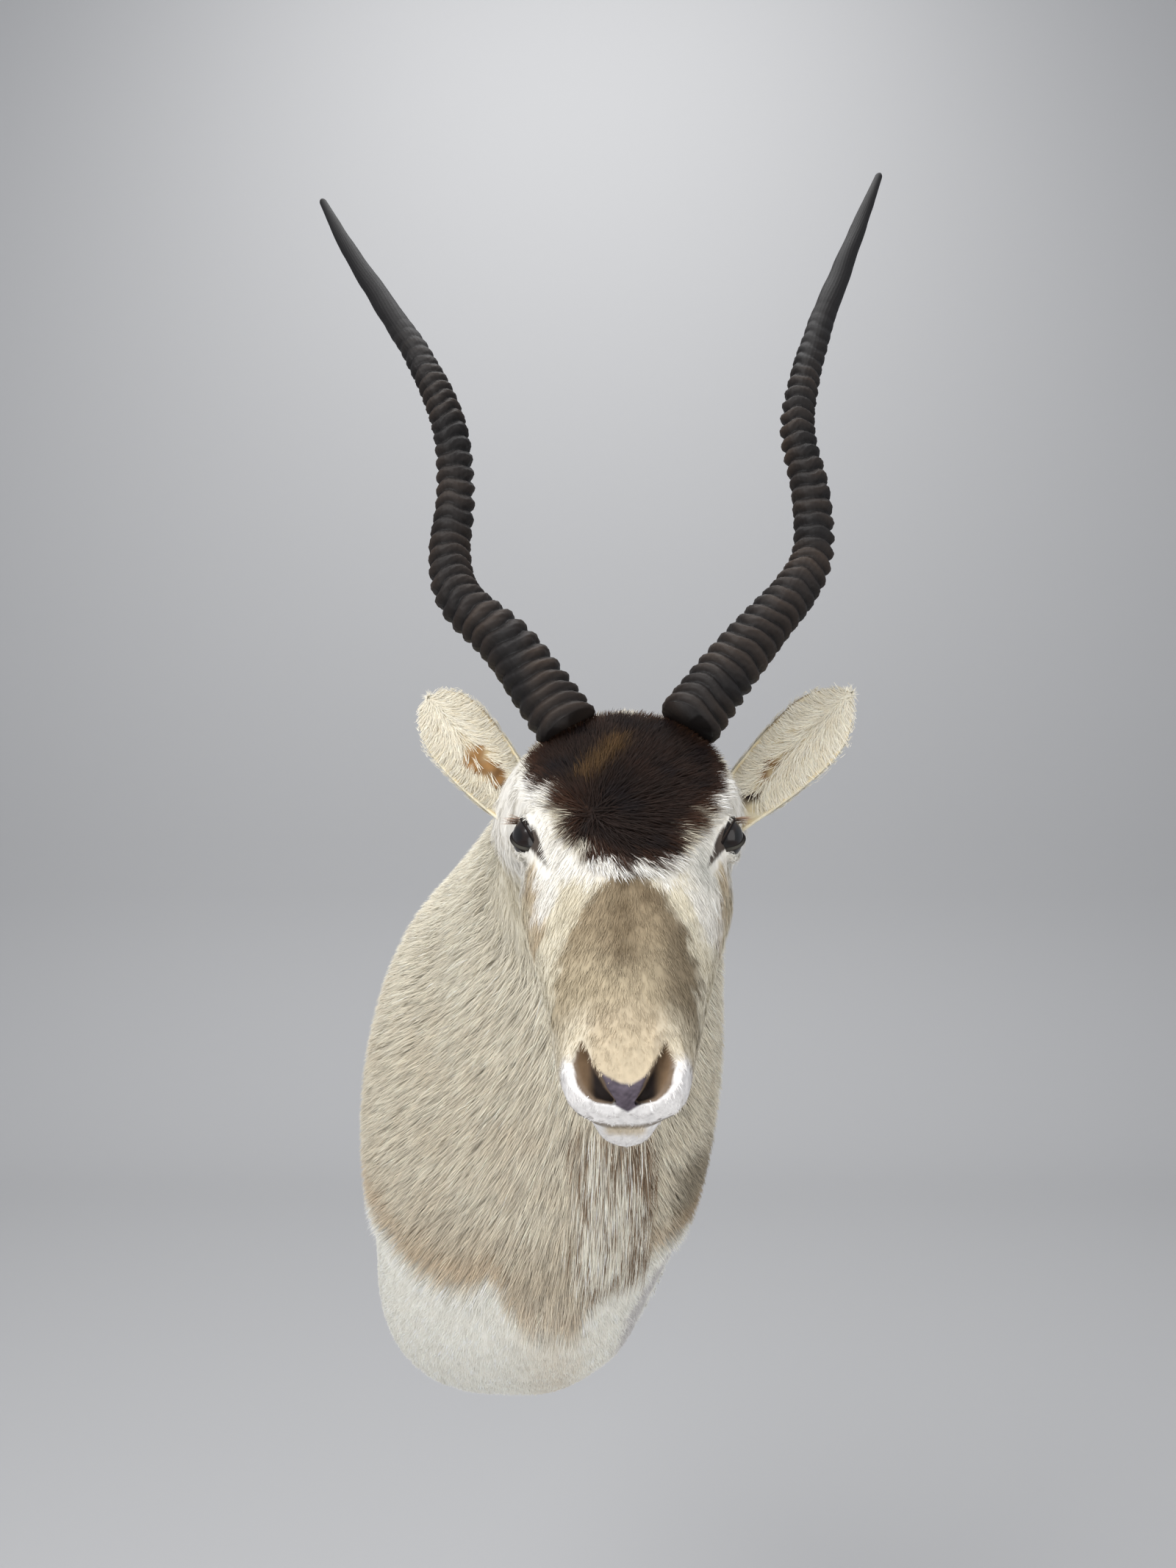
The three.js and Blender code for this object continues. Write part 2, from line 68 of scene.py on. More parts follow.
# Swellings and hollows of the head (aside, along the face, over it) and of the chest (X, Y,
# Z): centre, reach each way and height.
HEAD_FORMS = [
    (62, -14, 26, 24, 30, 16, 7), (68, 8, -12, 30, 22, 15, -6), (62, 40, -34, 26, 40, 14, 5),
    (50, 70, -8, 20, 34, 22, -6), (52, -10, -90, 26, 42, 34, 6), (44, 110, -48, 20, 34, 16, -4),
    (0, 120, 12, 30, 50, 20, 3), (32, 190, -8, 14, 18, 14, 4), (98, -44, -50, 30, 30, 30, 10),
]
CHEST_FORMS = [
    (85, -170, -185, 42, 90, 100, 14), (165, -100, -190, 50, 90, 90, -24),
    (-75, -190, 190, 45, 120, 130, -14), (-190, -20, -115, 40, 80, 70, -12),
]
# The slope of the face, the eye line's depth and height, and the head's middle plane, which
# leans a little to the animal's right towards the nose.
FACE_COS, FACE_SIN = 0.742, 0.67
EYE_LINE_DEPTH, EYE_LINE_HEIGHT = 571, 353
HEAD_MIDDLE, HEAD_LEAN = 90.5, 0.0265
EYE_X = 63.5
EYE_CENTRE = np.array([HEAD_MIDDLE, -571.5, 352.5])
EYE_RADIUS = 16.5
# How far the lids stand over the glass, and how far the skin dips behind it in the slit.
LID_THICK, GLASS_DIP = 1.9, 4
MUZZLE_ROUND = 11.0
# The coat lies this thick over the skin of the body, and this much thinner on the head and
# once more on the nose.
COAT_ON_BODY, COAT_LESS_HEAD, COAT_LESS_NOSE = 4.5, 3.0, 1.2


def through_rows(rows, t):
    """Smooth line through the rows of a table at t: each column is the cubic whose slope at
    a row is half the difference of the rows on either side."""
    last = len(rows) - 1
    t = np.clip(t, 0, last)
    i = np.minimum(t.astype(int), last - 1)
    f = (t - i)[..., None]
    b, c = rows[i], rows[i + 1]
    a = np.where((i > 0)[..., None], rows[np.maximum(i - 1, 0)], 2 * b - c)
    d = np.where((i < last - 1)[..., None], rows[np.minimum(i + 2, last)], 2 * c - b)
    return 0.5 * (2 * b + (c - a) * f + (2 * a - 5 * b + 4 * c - d) * f**2
                  + (3 * b - a - 3 * c + d) * f**3)


def unit(v):
    """Vectors drawn to length one."""
    return v / np.maximum(np.linalg.norm(v, axis=-1, keepdims=True), 1e-9)


def smooth(x, low, high):
    """0 below low, 1 above high, and the curve 3x2 - 2x3 between them."""
    s = np.clip((x - low) / (high - low), 0, 1)
    return s * s * (3 - 2 * s)


def head_terms(p):
    """Aside from the head's middle plane, along the face from the eye line towards the
    nose, and over the face: the point turned by the slope of the face."""
    back, up = p[..., 1] + EYE_LINE_DEPTH, p[..., 2] - EYE_LINE_HEIGHT
    along = -FACE_COS * back - FACE_SIN * up
    over = -FACE_SIN * back + FACE_COS * up
    return p[..., 0] - (HEAD_MIDDLE - HEAD_LEAN * along), along, over


def headness(p):
    """1 on the head, 0 on the neck and body, with a soft change behind the ears and jaw."""
    _, along, over = head_terms(p)
    return smooth(along, -125, -80) * smooth(over, -190, -140)


def swells(q, forms):
    """Sum of soft bumps: height times exp of minus the squared distance in reaches."""
    return sum(f[6] * np.exp(-sum(((q[k] - f[k]) / f[k + 3])**2 for k in range(3))) for f in forms)


def line_distance(x, y, line):
    """Distance in the plane from points to a line of straight steps, and how far along the
    line, from 0 to 1, the nearest point lies."""
    best = np.full(x.shape, 1e9)
    place = np.zeros(x.shape)
    steps = len(line) - 1
    for k, ((ax, ay), (bx, by)) in enumerate(zip(line, line[1:])):
        dx, dy = bx - ax, by - ay
        f = np.clip(((x - ax) * dx + (y - ay) * dy) / (dx * dx + dy * dy), 0, 1)
        far = np.hypot(x - ax - f * dx, y - ay - f * dy)
        nearer = far < best
        best = np.where(nearer, far, best)
        place = np.where(nearer, (k + f) / steps, place)
    return best, place


# The nostrils and the mouth are cut in the bare end of the muzzle. Their middle lines are in
# X and Z, as they are seen from the front.
NOSTRILS = [
    [(59.5, 235), (60, 226), (63.5, 218), (69.5, 211.5), (76.5, 207)],
    [(109, 236), (108.5, 227), (105, 219), (99, 212), (92.5, 207)],
]
MOUTH = [(46, 206), (56, 196.5), (66, 191.5), (79, 189), (92, 189), (104, 191.5), (115, 196.5), (125, 206)]
MUZZLE_MIDDLE = 84
# How deep each form is cut, how far the wings stand out, and the mouth's level at the side.
NOSTRIL_DEEP, MOUTH_DEEP, CLEFT_DEEP, CREASE_DEEP, WING_HIGH = 8.5, 1.6, 1.1, 0.7, 1.1
MOUTH_UNDER_FACE = 33


def nostril_depth(p):
    """How deep each nostril is cut: a trough that is widest below its middle."""
    depth = np.zeros(p.shape[:-1])
    front = smooth(-p[..., 1], 655, 680)
    for line in NOSTRILS:
        far, place = line_distance(p[..., 0], p[..., 2], line)
        half = 1.6 + 7.2 * np.sin(np.pi * np.clip(place * 0.92 + 0.03, 0, 1))
        depth = np.maximum(depth, front * (1 - smooth(far / half, 0.25, 1.05)))
    return depth


def mouth_line(p):
    """Nearness to the closed lips: 1 on the line, 0 from 2.4 mm away. Behind the front of
    the muzzle the line runs back along the jaw, 33 mm under the face line at the nose."""
    front, _ = line_distance(p[..., 0], p[..., 2], MOUTH)
    _, along, over = head_terms(p)
    side = np.abs(over + MOUTH_UNDER_FACE - 0.1 * (along - 200)) * 1.15
    ahead = smooth(-p[..., 1], 676, 690)
    near = front * ahead + side * (1 - ahead)
    return (1 - smooth(near, 0.3, 2.4)) * smooth(along, 128, 140)


def fine_forms(p):
    """Small forms of the face, summed: nostril troughs and the wings beside them, a jaw set
    back under the upper lip, the closed lips, the cleft of the upper lip and a crease."""
    aside, along, over = head_terms(p)
    x, y, z = p[..., 0], p[..., 1], p[..., 2]
    wing = sum(np.exp(-((line_distance(x, z, line)[0] - 8.5) / 2.6)**2) for line in NOSTRILS)
    wing = wing * smooth(-y, 655, 680)
    lips = np.interp(x, [m[0] for m in MOUTH], [m[1] for m in MOUTH])
    jaw = smooth(lips - z, 0, 5) * smooth(-y, 640, 676)
    jaw *= 1.2 + 5.5 * smooth(np.abs(x - 85), 10, 28)
    cleft = np.exp(-((x - MUZZLE_MIDDLE) / 1.3)**2) * smooth(-y, 690, 705) * (1 - smooth(z, 199, 207))
    bend = np.abs(along - 161 - 0.008 * aside**2)
    crease = np.exp(-(bend / 2.2)**2) * np.exp(-(aside / 22)**2) * smooth(over, -20, -5)
    cuts = NOSTRIL_DEEP * nostril_depth(p) + MOUTH_DEEP * mouth_line(p) + CLEFT_DEEP * cleft
    return WING_HIGH * wing - jaw - cuts - CREASE_DEEP * crease


def hide_point(t, angle, shrink, ahead):
    """The hide at station t and an angle round it (0 is +X, a quarter turn is up): a ring of
    two half widths and two poles, each quarter a superellipse; shrink draws it in and ahead
    moves it forward for the round end of the muzzle; soft forms then push it outward."""
    top_y, top_z, low_y, low_z, level, mid_x, wide_r, wide_l, round_top, round_r, round_l = \
        np.moveaxis(through_rows(LOFT, t), -1, 0)
    top = np.stack([mid_x, top_y, top_z], -1)
    low = np.stack([mid_x, low_y, low_z], -1)
    mid = low + (top - low) * level[..., None]
    across, upward = np.cos(angle), np.sin(angle)
    n = np.where(upward >= 0, round_top, np.where(across < 0, round_r, round_l))
    reach = (np.abs(across)**n + np.abs(upward)**n)**(-1 / n) * shrink
    pole = np.where((upward >= 0)[..., None], top, low)
    p = mid + (pole - mid) * (np.abs(upward) * reach)[..., None]
    p[..., 0] += np.where(across < 0, wide_r, wide_l) * across * reach
    rise = unit(top - low)
    p += np.stack([0 * ahead, -rise[..., 2], rise[..., 1]], -1) * np.asarray(ahead)[..., None]
    away = unit(p - mid)
    aside, along, over = head_terms(p)
    stand = swells((np.abs(aside), along, over), HEAD_FORMS)
    stand += swells((p[..., 0], p[..., 1], p[..., 2]), CHEST_FORMS)
    head = headness(p)
    coat = COAT_ON_BODY - head * (COAT_LESS_HEAD + COAT_LESS_NOSE * smooth(along, 150, 190))
    return p + away * (stand - coat + fine_forms(p))[..., None]


def eye_frame(side):
    """Centre of an eye and its three directions: outward, along the slit towards the tear
    duct, and up across the slit."""
    centre = EYE_CENTRE + np.array([side * EYE_X, 0, 0])
    out = unit(np.array([side * 0.80, -0.56, 0.22]))
    slit = np.array([-side * 0.406, -0.772, -0.489])
    slit = unit(slit - out * (slit @ out))
    up = np.cross(slit, out) * side
    return centre, out, slit, up * np.sign(up[2])


def seat_eyes(p):
    """Skin near an eye lies on a ball a little larger than the glass, as lids do, and inside
    the slit it dips behind the glass."""
    for side in (-1, 1):
        centre, out, slit, up = eye_frame(side)
        q = p - centre
        r = np.linalg.norm(q, axis=-1)
        a, b, c = q @ slit, q @ up, q @ out
        lids = (1 - smooth(np.hypot(a / 24, b / 19), 0.62, 1.15)) * (c > -6)
        opening = (1 - smooth(np.hypot(a / 15.6, (b - 0.5) / 7.9), 0.84, 1.0)) * (c > 0)
        goal = (EYE_RADIUS + LID_THICK) * (1 - opening) + (EYE_RADIUS - GLASS_DIP) * opening
        p = centre + q / np.maximum(r, 1e-6)[..., None] * (r * (1 - lids) + goal * lids)[..., None]
    return p


# Columns round the skin and steps along it between two stations. The rings of the neck stand
# wider apart than those of the head, and the last ones round off the muzzle.
COLUMNS = 336
STEPS_NECK, STEPS_HEAD, STEPS_CAP = 9, 13, 34
HEAD_STATION, NOSE_STATION = 8, 19
stations = np.concatenate([
    np.linspace(0, HEAD_STATION, HEAD_STATION * STEPS_NECK, endpoint=False),
    np.linspace(HEAD_STATION, NOSE_STATION, (NOSE_STATION - HEAD_STATION) * STEPS_HEAD + 1),
    np.full(STEPS_CAP - 1, float(NOSE_STATION)),
])
turn = np.zeros(len(stations))
turn[-STEPS_CAP + 1:] = np.linspace(0, np.pi / 2, STEPS_CAP + 1)[1:-1]
angles = np.linspace(0, 2 * np.pi, COLUMNS, endpoint=False)
rows_t, cols_a = np.meshgrid(stations, angles, indexing="ij")
turns = np.repeat(turn[:, None], COLUMNS, 1)
skin = seat_eyes(hide_point(rows_t, cols_a, np.cos(turns)**0.75, MUZZLE_ROUND * np.sin(turns)))


def linear(*rgb):
    """A colour given as it is seen, 0 to 255, turned to linear light."""
    c = np.array(rgb) / 255
    return np.where(c > 0.04045, ((c + 0.055) / 1.055)**2.4, c / 12.92)


def waves(p, size, seed):
    """Soft unevenness from -1 to 1: the mean of sine waves that run ten ways through space,
    about one size apart."""
    rng = np.random.default_rng(seed)
    ways = rng.normal(size=(10, 3))
    ways *= (rng.uniform(0.6, 1.7, 10) / np.linalg.norm(ways, axis=1) * 2 * np.pi / size)[:, None]
    shift = rng.uniform(0, 2 * np.pi, 10)
    return np.clip(np.mean([np.sin(p @ k + s) for k, s in zip(ways, shift)], 0) * 2.2, -1, 1)


# The coat's markings: a dark brown cap over the forehead, a white mask between the eyes, a
# fawn patch down the nose, a grey-fawn neck, a pale beard and a white chest under a hem. The
# lines on the head are (aside, along), half widths are (along, half), and the rest is (X, Z).
CAP = np.array([(-76, -60), (-73, -38), (-66, -16), (-56, -4), (-45, 8), (-37, 24), (-29, 39),
                (-16, 49), (-2, 53), (14, 51), (25, 44), (30, 32), (43, 17), (51, 8), (61, -10),
                (67, -30), (69, -49), (64, -70), (45, -88), (10, -97), (-24, -98), (-50, -84)])
MASK = [[(-66, -26), (-57, 8), (-48, 34), (-53, 62)],
        [(66, -24), (56, 10), (46, 38), (50, 58), (54, 78)],
        [(-42, 36), (-20, 46), (0, 49), (20, 46), (40, 36)]]
TEMPLE = [(92, -70), (90, -30), (76, 6)]
TEAR_LINE = [(66, 24), (62, 44), (58, 74)]
NOSE_HALF = np.array([(47, -6), (51, 4), (56, 13), (64, 21), (76, 29), (92, 38), (120, 46), (150, 46),
                      (190, 40)])
# Dark spots of the nose: aside, along and radius.
NOSE_SPOTS = [(-2, 56, 13), (13, 68, 11), (-4, 80, 10), (-3, 98, 13), (-2, 110, 15), (-25, 66, 8)]
HEM = np.array([(-200, -52), (-141, -68), (-108, -94), (-66, -104), (-42, -96), (-20, -76),
                (-6, -112), (7, -136), (51, -140), (60, -104), (66, -84), (86, -62), (106, -46),
                (151, -47), (200, -52)])
# The line of a fold at the chest's right edge, which the form leaves out; it is drawn only as painted shade.
CHEST_FOLD = [(146, -62), (112, -120), (96, -182)]
# The tear duct of each eye, as (aside, Z), and its half width at the eye and at its end.
DUCT = [(68, 355), (61, 346), (53.5, 335.5)]
DUCT_WIDE, DUCT_NARROW = 6.6, 1.0
# The upper and the lower edge of the bare nose pad, as (X, Z).
PAD_TOP = np.array([(58, 230), (66, 226), (74, 221.5), (82, 218), (88, 217.5), (94, 220.5), (101, 225),
                    (108, 232)])
PAD_LOW = np.array([(58, 208), (66, 206), (77, 205.5), (86, 200.5), (95, 206), (102, 209), (110, 213)])

WHITE, CREAM = linear(230, 226, 217), linear(224, 217, 198)
FAWN, TAN = linear(211, 202, 182), linear(196, 180, 155)
SHOULDER_BROWN, THROAT_BROWN = linear(128, 116, 96), linear(140, 122, 102)
HEM_TAN, HEM_WHITE = linear(196, 170, 138), linear(240, 237, 226)
FOLD_SHADE_GREY, TONGUE_CREAM = linear(196, 192, 192), linear(224, 214, 196)
CHEEK_FAWN, JAW_CREAM = linear(208, 199, 176), linear(222, 214, 198)
TEAR_TAN, CHEEK_SHADE_GREY = linear(186, 167, 137), linear(160, 160, 152)
NOSE_FAWN, NOSE_LOW_FAWN = linear(156, 140, 114), linear(174, 160, 134)
NOSE_SPOT_BROWN, NOSE_SIDE_SHADE = linear(104, 88, 66), linear(112, 99, 80)
MUZZLE_FAWN, MUZZLE_CREAM = linear(186, 171, 146), linear(212, 202, 180)
CAP_BROWN, CAP_UMBER, CAP_EDGE_BROWN = linear(20, 13, 10), linear(38, 25, 19), linear(66, 42, 28)
LIP_WHITE, LIP_GREY = linear(228, 225, 222), linear(206, 202, 200)
SEPTUM_FAWN, CHIN_FAWN = linear(188, 173, 147), linear(188, 172, 144)
PAD_GREY, DUCT_GREY, LIP_LINE = linear(84, 76, 84), linear(74, 66, 60), linear(92, 80, 62)
NOSTRIL_TAUPE, NOSTRIL_SHADE_BROWN, NOSTRIL_SHADOW_DARK = linear(116, 100, 84), linear(98, 76, 52), linear(30, 24, 22)


def blend(a, b, f):
    """Colour a turned into colour b by the share f."""
    return a + (b - a) * np.asarray(f)[..., None]


def in_cap(aside, along):
    """How far a spot lies inside the forehead cap, in mm: the cap's radius in the spot's
    direction less its distance from the cap's middle."""
    x, y = CAP[:, 0], CAP[:, 1] + 30
    order = np.argsort(np.arctan2(y, x))
    radius = np.interp(np.arctan2(along + 30, aside), np.arctan2(y, x)[order],
                       np.hypot(x, y)[order], period=2 * np.pi)
    return radius - np.hypot(aside, along + 30)

def above_hem(p):
    """Height over the line of the hem, in mm."""
    return p[..., 2] - np.interp(p[..., 0], HEM[:, 0], HEM[:, 1])


def body_colour(p, rough, patch):
    """Neck and chest: fawn patched with tan, creamier up the neck and darker low down; then
    a brown shoulder, the tan band and the white of the hem, painted shade along a fold, the
    brown throat beside the beard, and cream that runs down into the white."""
    x, y, z = p[..., 0], p[..., 1], p[..., 2]
    off_head = 1 - headness(p)
    colour = blend(FAWN, TAN, 0.25 + 0.3 * patch)
    colour = blend(colour, CREAM, 0.25 + smooth(z, 90, 330) * 0.5)
    colour = blend(colour, TAN * 0.88, (1 - smooth(z, -70, 40)) * 0.6)
    shoulder = smooth(x, 118, 150) * (1 - smooth(z, 40, 90)) * smooth(z, -60, -30) * smooth(-y, 70, 170)
    colour = blend(colour, SHOULDER_BROWN, shoulder * 0.85)
    hem = above_hem(p) + 7 * rough
    colour = blend(colour, HEM_TAN, (1 - smooth(np.abs(hem - 34), 4, 26)) * 0.4 * off_head)
    colour = blend(colour, HEM_WHITE, (1 - smooth(hem, -6, 34)) * off_head)
    # Painted shade along the fold, on the front of the chest only.
    fold, _ = line_distance(x, z, CHEST_FOLD)
    colour = blend(colour, FOLD_SHADE_GREY, (1 - smooth(fold, 3, 14)) * (y < -60) * 0.7 * off_head)
    beside = np.abs(x - 83) - 33
    throat = (1 - smooth(beside, -14, 3)) * (1 - smooth(z, 100, 130)) * smooth(z, -90, -30) * (y < -200)
    colour = blend(colour, THROAT_BROWN, throat * off_head * 0.7)
    tongue = np.exp(-((x - 30) / 34)**2) * (1 - smooth(z, -100, -58))
    return blend(colour, TONGUE_CREAM, tongue * (0.55 + 0.45 * waves(p, 9, 17)) * off_head)


def face_colour(p, colour, rough, patch):
    """The head laid over the neck's colour: cream and fawn cheeks, a paler jaw, a tan line
    under each eye, white temples, and the white mask, which thins towards its lines' ends."""
    aside, along, over = head_terms(p)
    head = headness(p)
    colour = blend(colour, blend(CREAM, CHEEK_FAWN, 0.5 + 0.5 * patch), head)
    colour = blend(colour, JAW_CREAM, smooth(along, 100, 170) * (1 - smooth(over, -40, -12)) * head)
    tear, _ = line_distance(np.abs(aside), along, TEAR_LINE)
    colour = blend(colour, TEAR_TAN, (1 - smooth(tear + 4 * rough, 2, 11)) * (over > -30) * 0.85)
    temple, _ = line_distance(np.abs(aside), along, TEMPLE)
    on_temple = (1 - smooth(temple + 5 * rough, 12, 34)) * smooth(over, -95, -60)
    colour = blend(colour, WHITE, on_temple * head)
    mask = np.full(aside.shape, 99.0)
    for line in MASK:
        far, place = line_distance(aside, along, line)
        mask = np.minimum(mask, far + 6 * smooth(place, 0.7, 1))
    return blend(colour, WHITE, (1 - smooth(mask + 5 * rough, 9, 17)) * (over > -28) * head)


def nose_colour(p):
    """The fawn patch of the nose: lighter downwards, with dark spots, painted shade down its
    side on the animal's left, and the pale muzzle above the nostrils."""
    aside, along, _ = head_terms(p)
    spots = [np.exp(-((aside - u)**2 + (along - v)**2 / 1.6) / r**2) for u, v, r in NOSE_SPOTS]
    fawn = blend(NOSE_FAWN, NOSE_LOW_FAWN, smooth(along, 86, 128))
    fawn = blend(fawn, NOSE_SPOT_BROWN, np.max(spots, 0) * (0.75 + 0.15 * waves(p, 12, 14)))
    # Painted shade down the side of the nose on the animal's left, away from the light.
    side_shade = smooth(aside, 10, 32) * (1 - smooth(along, 140, 178))
    fawn = blend(fawn, NOSE_SIDE_SHADE, side_shade * 0.8)
    muzzle = blend(MUZZLE_FAWN, MUZZLE_CREAM, smooth(np.abs(aside), 14, 30))
    return blend(fawn, muzzle, smooth(along, 136, 168) * (1 - 0.4 * smooth(aside, 20, 40)))


def lip_colour(p, colour):
    """White lips with a grey mottle, laid over a colour, with fawn between the nostrils and
    on the chin."""
    aside, along, over = head_terms(p)
    x, y, z = p[..., 0], p[..., 1], p[..., 2]
    lip = smooth(along + 0.6 * np.abs(aside), 194, 210) * (over < 2)
    mottle = blend(LIP_WHITE, LIP_GREY, (0.5 + 0.5 * waves(p, 4, 12))**3)
    between = (1 - smooth(np.abs(x - MUZZLE_MIDDLE), 15, 21)) * smooth(z, 214, 221)
    colour = blend(colour, mottle, lip * smooth(-y, 640, 665) * (1 - between * 0.9))
    colour = blend(colour, SEPTUM_FAWN, between * smooth(-y, 690, 700))
    chin = smooth(191 - z, 0, 3) * (1 - smooth(np.abs(x - 85), 9, 15)) * (1 - smooth(186 - z, 0, 6))
    return blend(colour, CHIN_FAWN, chin * smooth(-y, 655, 675) * 0.8)


def coat_colour(p):
    """The coat's colour at points: the regions laid over each other, from the body to the
    lips, each with a soft ragged edge."""
    aside, along, over = head_terms(p)
    rough, patch = waves(p, 14, 5), waves(p, 60, 6)
    colour = face_colour(p, body_colour(p, rough, patch), rough, patch)
    past_patch = np.abs(aside) - np.interp(along, NOSE_HALF[:, 0], NOSE_HALF[:, 1]) + 4 * rough
    on_nose = (1 - smooth(past_patch, -5, 4)) * smooth(along, 44, 52) * (over > -26)
    colour = blend(colour, nose_colour(p), on_nose)
    # Painted shade under the eye on the animal's left, the side away from the light.
    cheek_shade = np.exp(-((aside - 50) / 9)**2 - ((along - 38) / 16)**2) * (over > -28)
    colour = blend(colour, CHEEK_SHADE_GREY, cheek_shade * 0.7)
    cap = in_cap(aside, along) + 5 * rough
    brown = blend(CAP_BROWN, CAP_UMBER, 0.5 + 0.5 * waves(p, 26, 8))
    brown = blend(brown, CAP_EDGE_BROWN, (1 - smooth(cap, 8, 24)) * 0.7)
    colour = blend(colour, brown, smooth(cap, 6, 12) * (over > -45))
    return np.clip(lip_colour(p, colour), 0.004, 0.95)


def nose_pad(p):
    """1 on the hairless pad between the nostrils, 0 off it: a band between two lines drawn
    across the front of the muzzle."""
    x, y, z = p[..., 0], p[..., 1], p[..., 2]
    top = np.interp(x, PAD_TOP[:, 0], PAD_TOP[:, 1])
    low = np.interp(x, PAD_LOW[:, 0], PAD_LOW[:, 1])
    band = smooth(top - z, -0.8, 1.2) * smooth(z - low, -0.8, 1.2)
    return band * smooth(x, 65, 69) * (1 - smooth(x, 100, 104)) * smooth(-y, 676, 690)


def tear_duct(p, margin=0):
    """1 on the bare strip that runs from the inner corner of each eye down the face, and on
    a margin round it; the strip narrows evenly to its end."""
    aside, along, over = head_terms(p)
    far, place = line_distance(np.abs(aside), p[..., 2], DUCT)
    half = DUCT_WIDE - (DUCT_WIDE - DUCT_NARROW) * place + margin
    return (1 - smooth(far - half, -0.8, 0.8)) * (over > -30) * smooth(along, -8, 2)


def bare_colour(p, colour):
    """The hairless skin of the nose: a purple-grey pad that spreads to both nostrils, taupe
    in the nostrils with painted shade darker deeper in and on their inner sides, the ducts
    and a dark line between the lips."""
    colour = blend(colour, PAD_GREY * (1 + 0.25 * waves(p, 3, 9))[..., None], nose_pad(p))
    trough = nostril_depth(p)
    inner = 1 - smooth(np.abs(p[..., 0] - MUZZLE_MIDDLE), 16, 23)
    colour = blend(colour, NOSTRIL_TAUPE, smooth(trough, 0.05, 0.3))
    # Painted shade: the nostrils darken deeper in, to near black on their inner sides.
    colour = blend(colour, NOSTRIL_SHADE_BROWN, smooth(trough, 0.5, 1.0) * 0.7)
    colour = blend(colour, NOSTRIL_SHADOW_DARK, smooth(trough, 0.4, 0.9) * inner)
    colour = blend(colour, DUCT_GREY, tear_duct(p))
    return blend(colour, LIP_LINE, mouth_line(p) * 0.8)


def put_mesh(name, points, faces, colour, uv):
    """A mesh piece from points in millimetres, faces of one size, a colour at each point and
    its place on the unit square."""
    mesh = bpy.data.meshes.new(name)
    count, sides = faces.shape
    mesh.vertices.add(len(points))
    mesh.vertices.foreach_set("co", (points * 0.001).astype(np.float32).ravel())
    mesh.loops.add(count * sides)
    mesh.loops.foreach_set("vertex_index", faces.astype(np.int32).ravel())
    mesh.polygons.add(count)
    mesh.polygons.foreach_set("loop_start", np.arange(0, count * sides, sides, dtype=np.int32))
    mesh.polygons.foreach_set("use_smooth", np.ones(count, bool))
    tint = mesh.color_attributes.new("coat", "FLOAT_COLOR", "POINT")
    rgba = np.column_stack([colour, np.ones(len(colour))])
    tint.data.foreach_set("color", rgba.astype(np.float32).ravel())
    chart = mesh.uv_layers.new(name="OFBake")
    chart.data.foreach_set("uv", uv[faces.ravel()].astype(np.float32).ravel())
    mesh.update(calc_edges=True)
    mesh.validate()
    piece = bpy.data.objects.new(name, mesh)
    scene.collection.objects.link(piece)
    return piece


def grid_faces(rows, cols, closed):
    """Four-sided faces between neighbours of a grid, joined round its columns if closed."""
    i, j = np.meshgrid(np.arange(rows - 1), np.arange(cols if closed else cols - 1), indexing="ij")
    k = (j + 1) % cols
    corners = [i * cols + j, i * cols + k, (i + 1) * cols + k, (i + 1) * cols + j]
    return np.stack(corners, -1).reshape(-1, 4)


def halved(quads):
    """Four-sided faces cut into triangles across one diagonal."""
    return np.vstack([quads[:, [0, 1, 2]], quads[:, [0, 2, 3]]])


def outward(points, faces):
    """Triangles turned the other way round if they enclose less than nothing."""
    a, b, c = (points[faces[:, k]] for k in range(3))
    return faces if np.sum(a * np.cross(b, c)) > 0 else faces[:, ::-1]


def spread_grid(rows, cols):
    """Places of a grid's points on the unit square, evenly each way, just inside its edge."""
    u, v = np.linspace(0.002, 0.998, cols)[None, :], np.linspace(0.002, 0.998, rows)[:, None]
    return np.stack(np.broadcast_arrays(u, v), -1).reshape(-1, 2)


def closed_tube(name, rings, ends, tints, end_tints):
    """A mesh of rings of points, joined round and along, with one more point that closes the
    first ring and one that closes the last."""
    rows, cols = rings.shape[:2]
    points = np.vstack([rings.reshape(-1, 3), ends])
    j = np.arange(cols)
    k = (j + 1) % cols
    base, last = rows * cols, (rows - 1) * cols
    faces = np.vstack([halved(grid_faces(rows, cols, True)), np.stack([k, j, base + 0 * j], 1),
                       np.stack([last + j, last + k, base + 1 + 0 * j], 1)])
    return put_mesh(name, points, outward(points - points.mean(0), faces),
                    np.vstack([tints.reshape(-1, 3), end_tints]),
                    np.vstack([spread_grid(rows, cols), [0.5, 0.001], [0.5, 0.999]]))


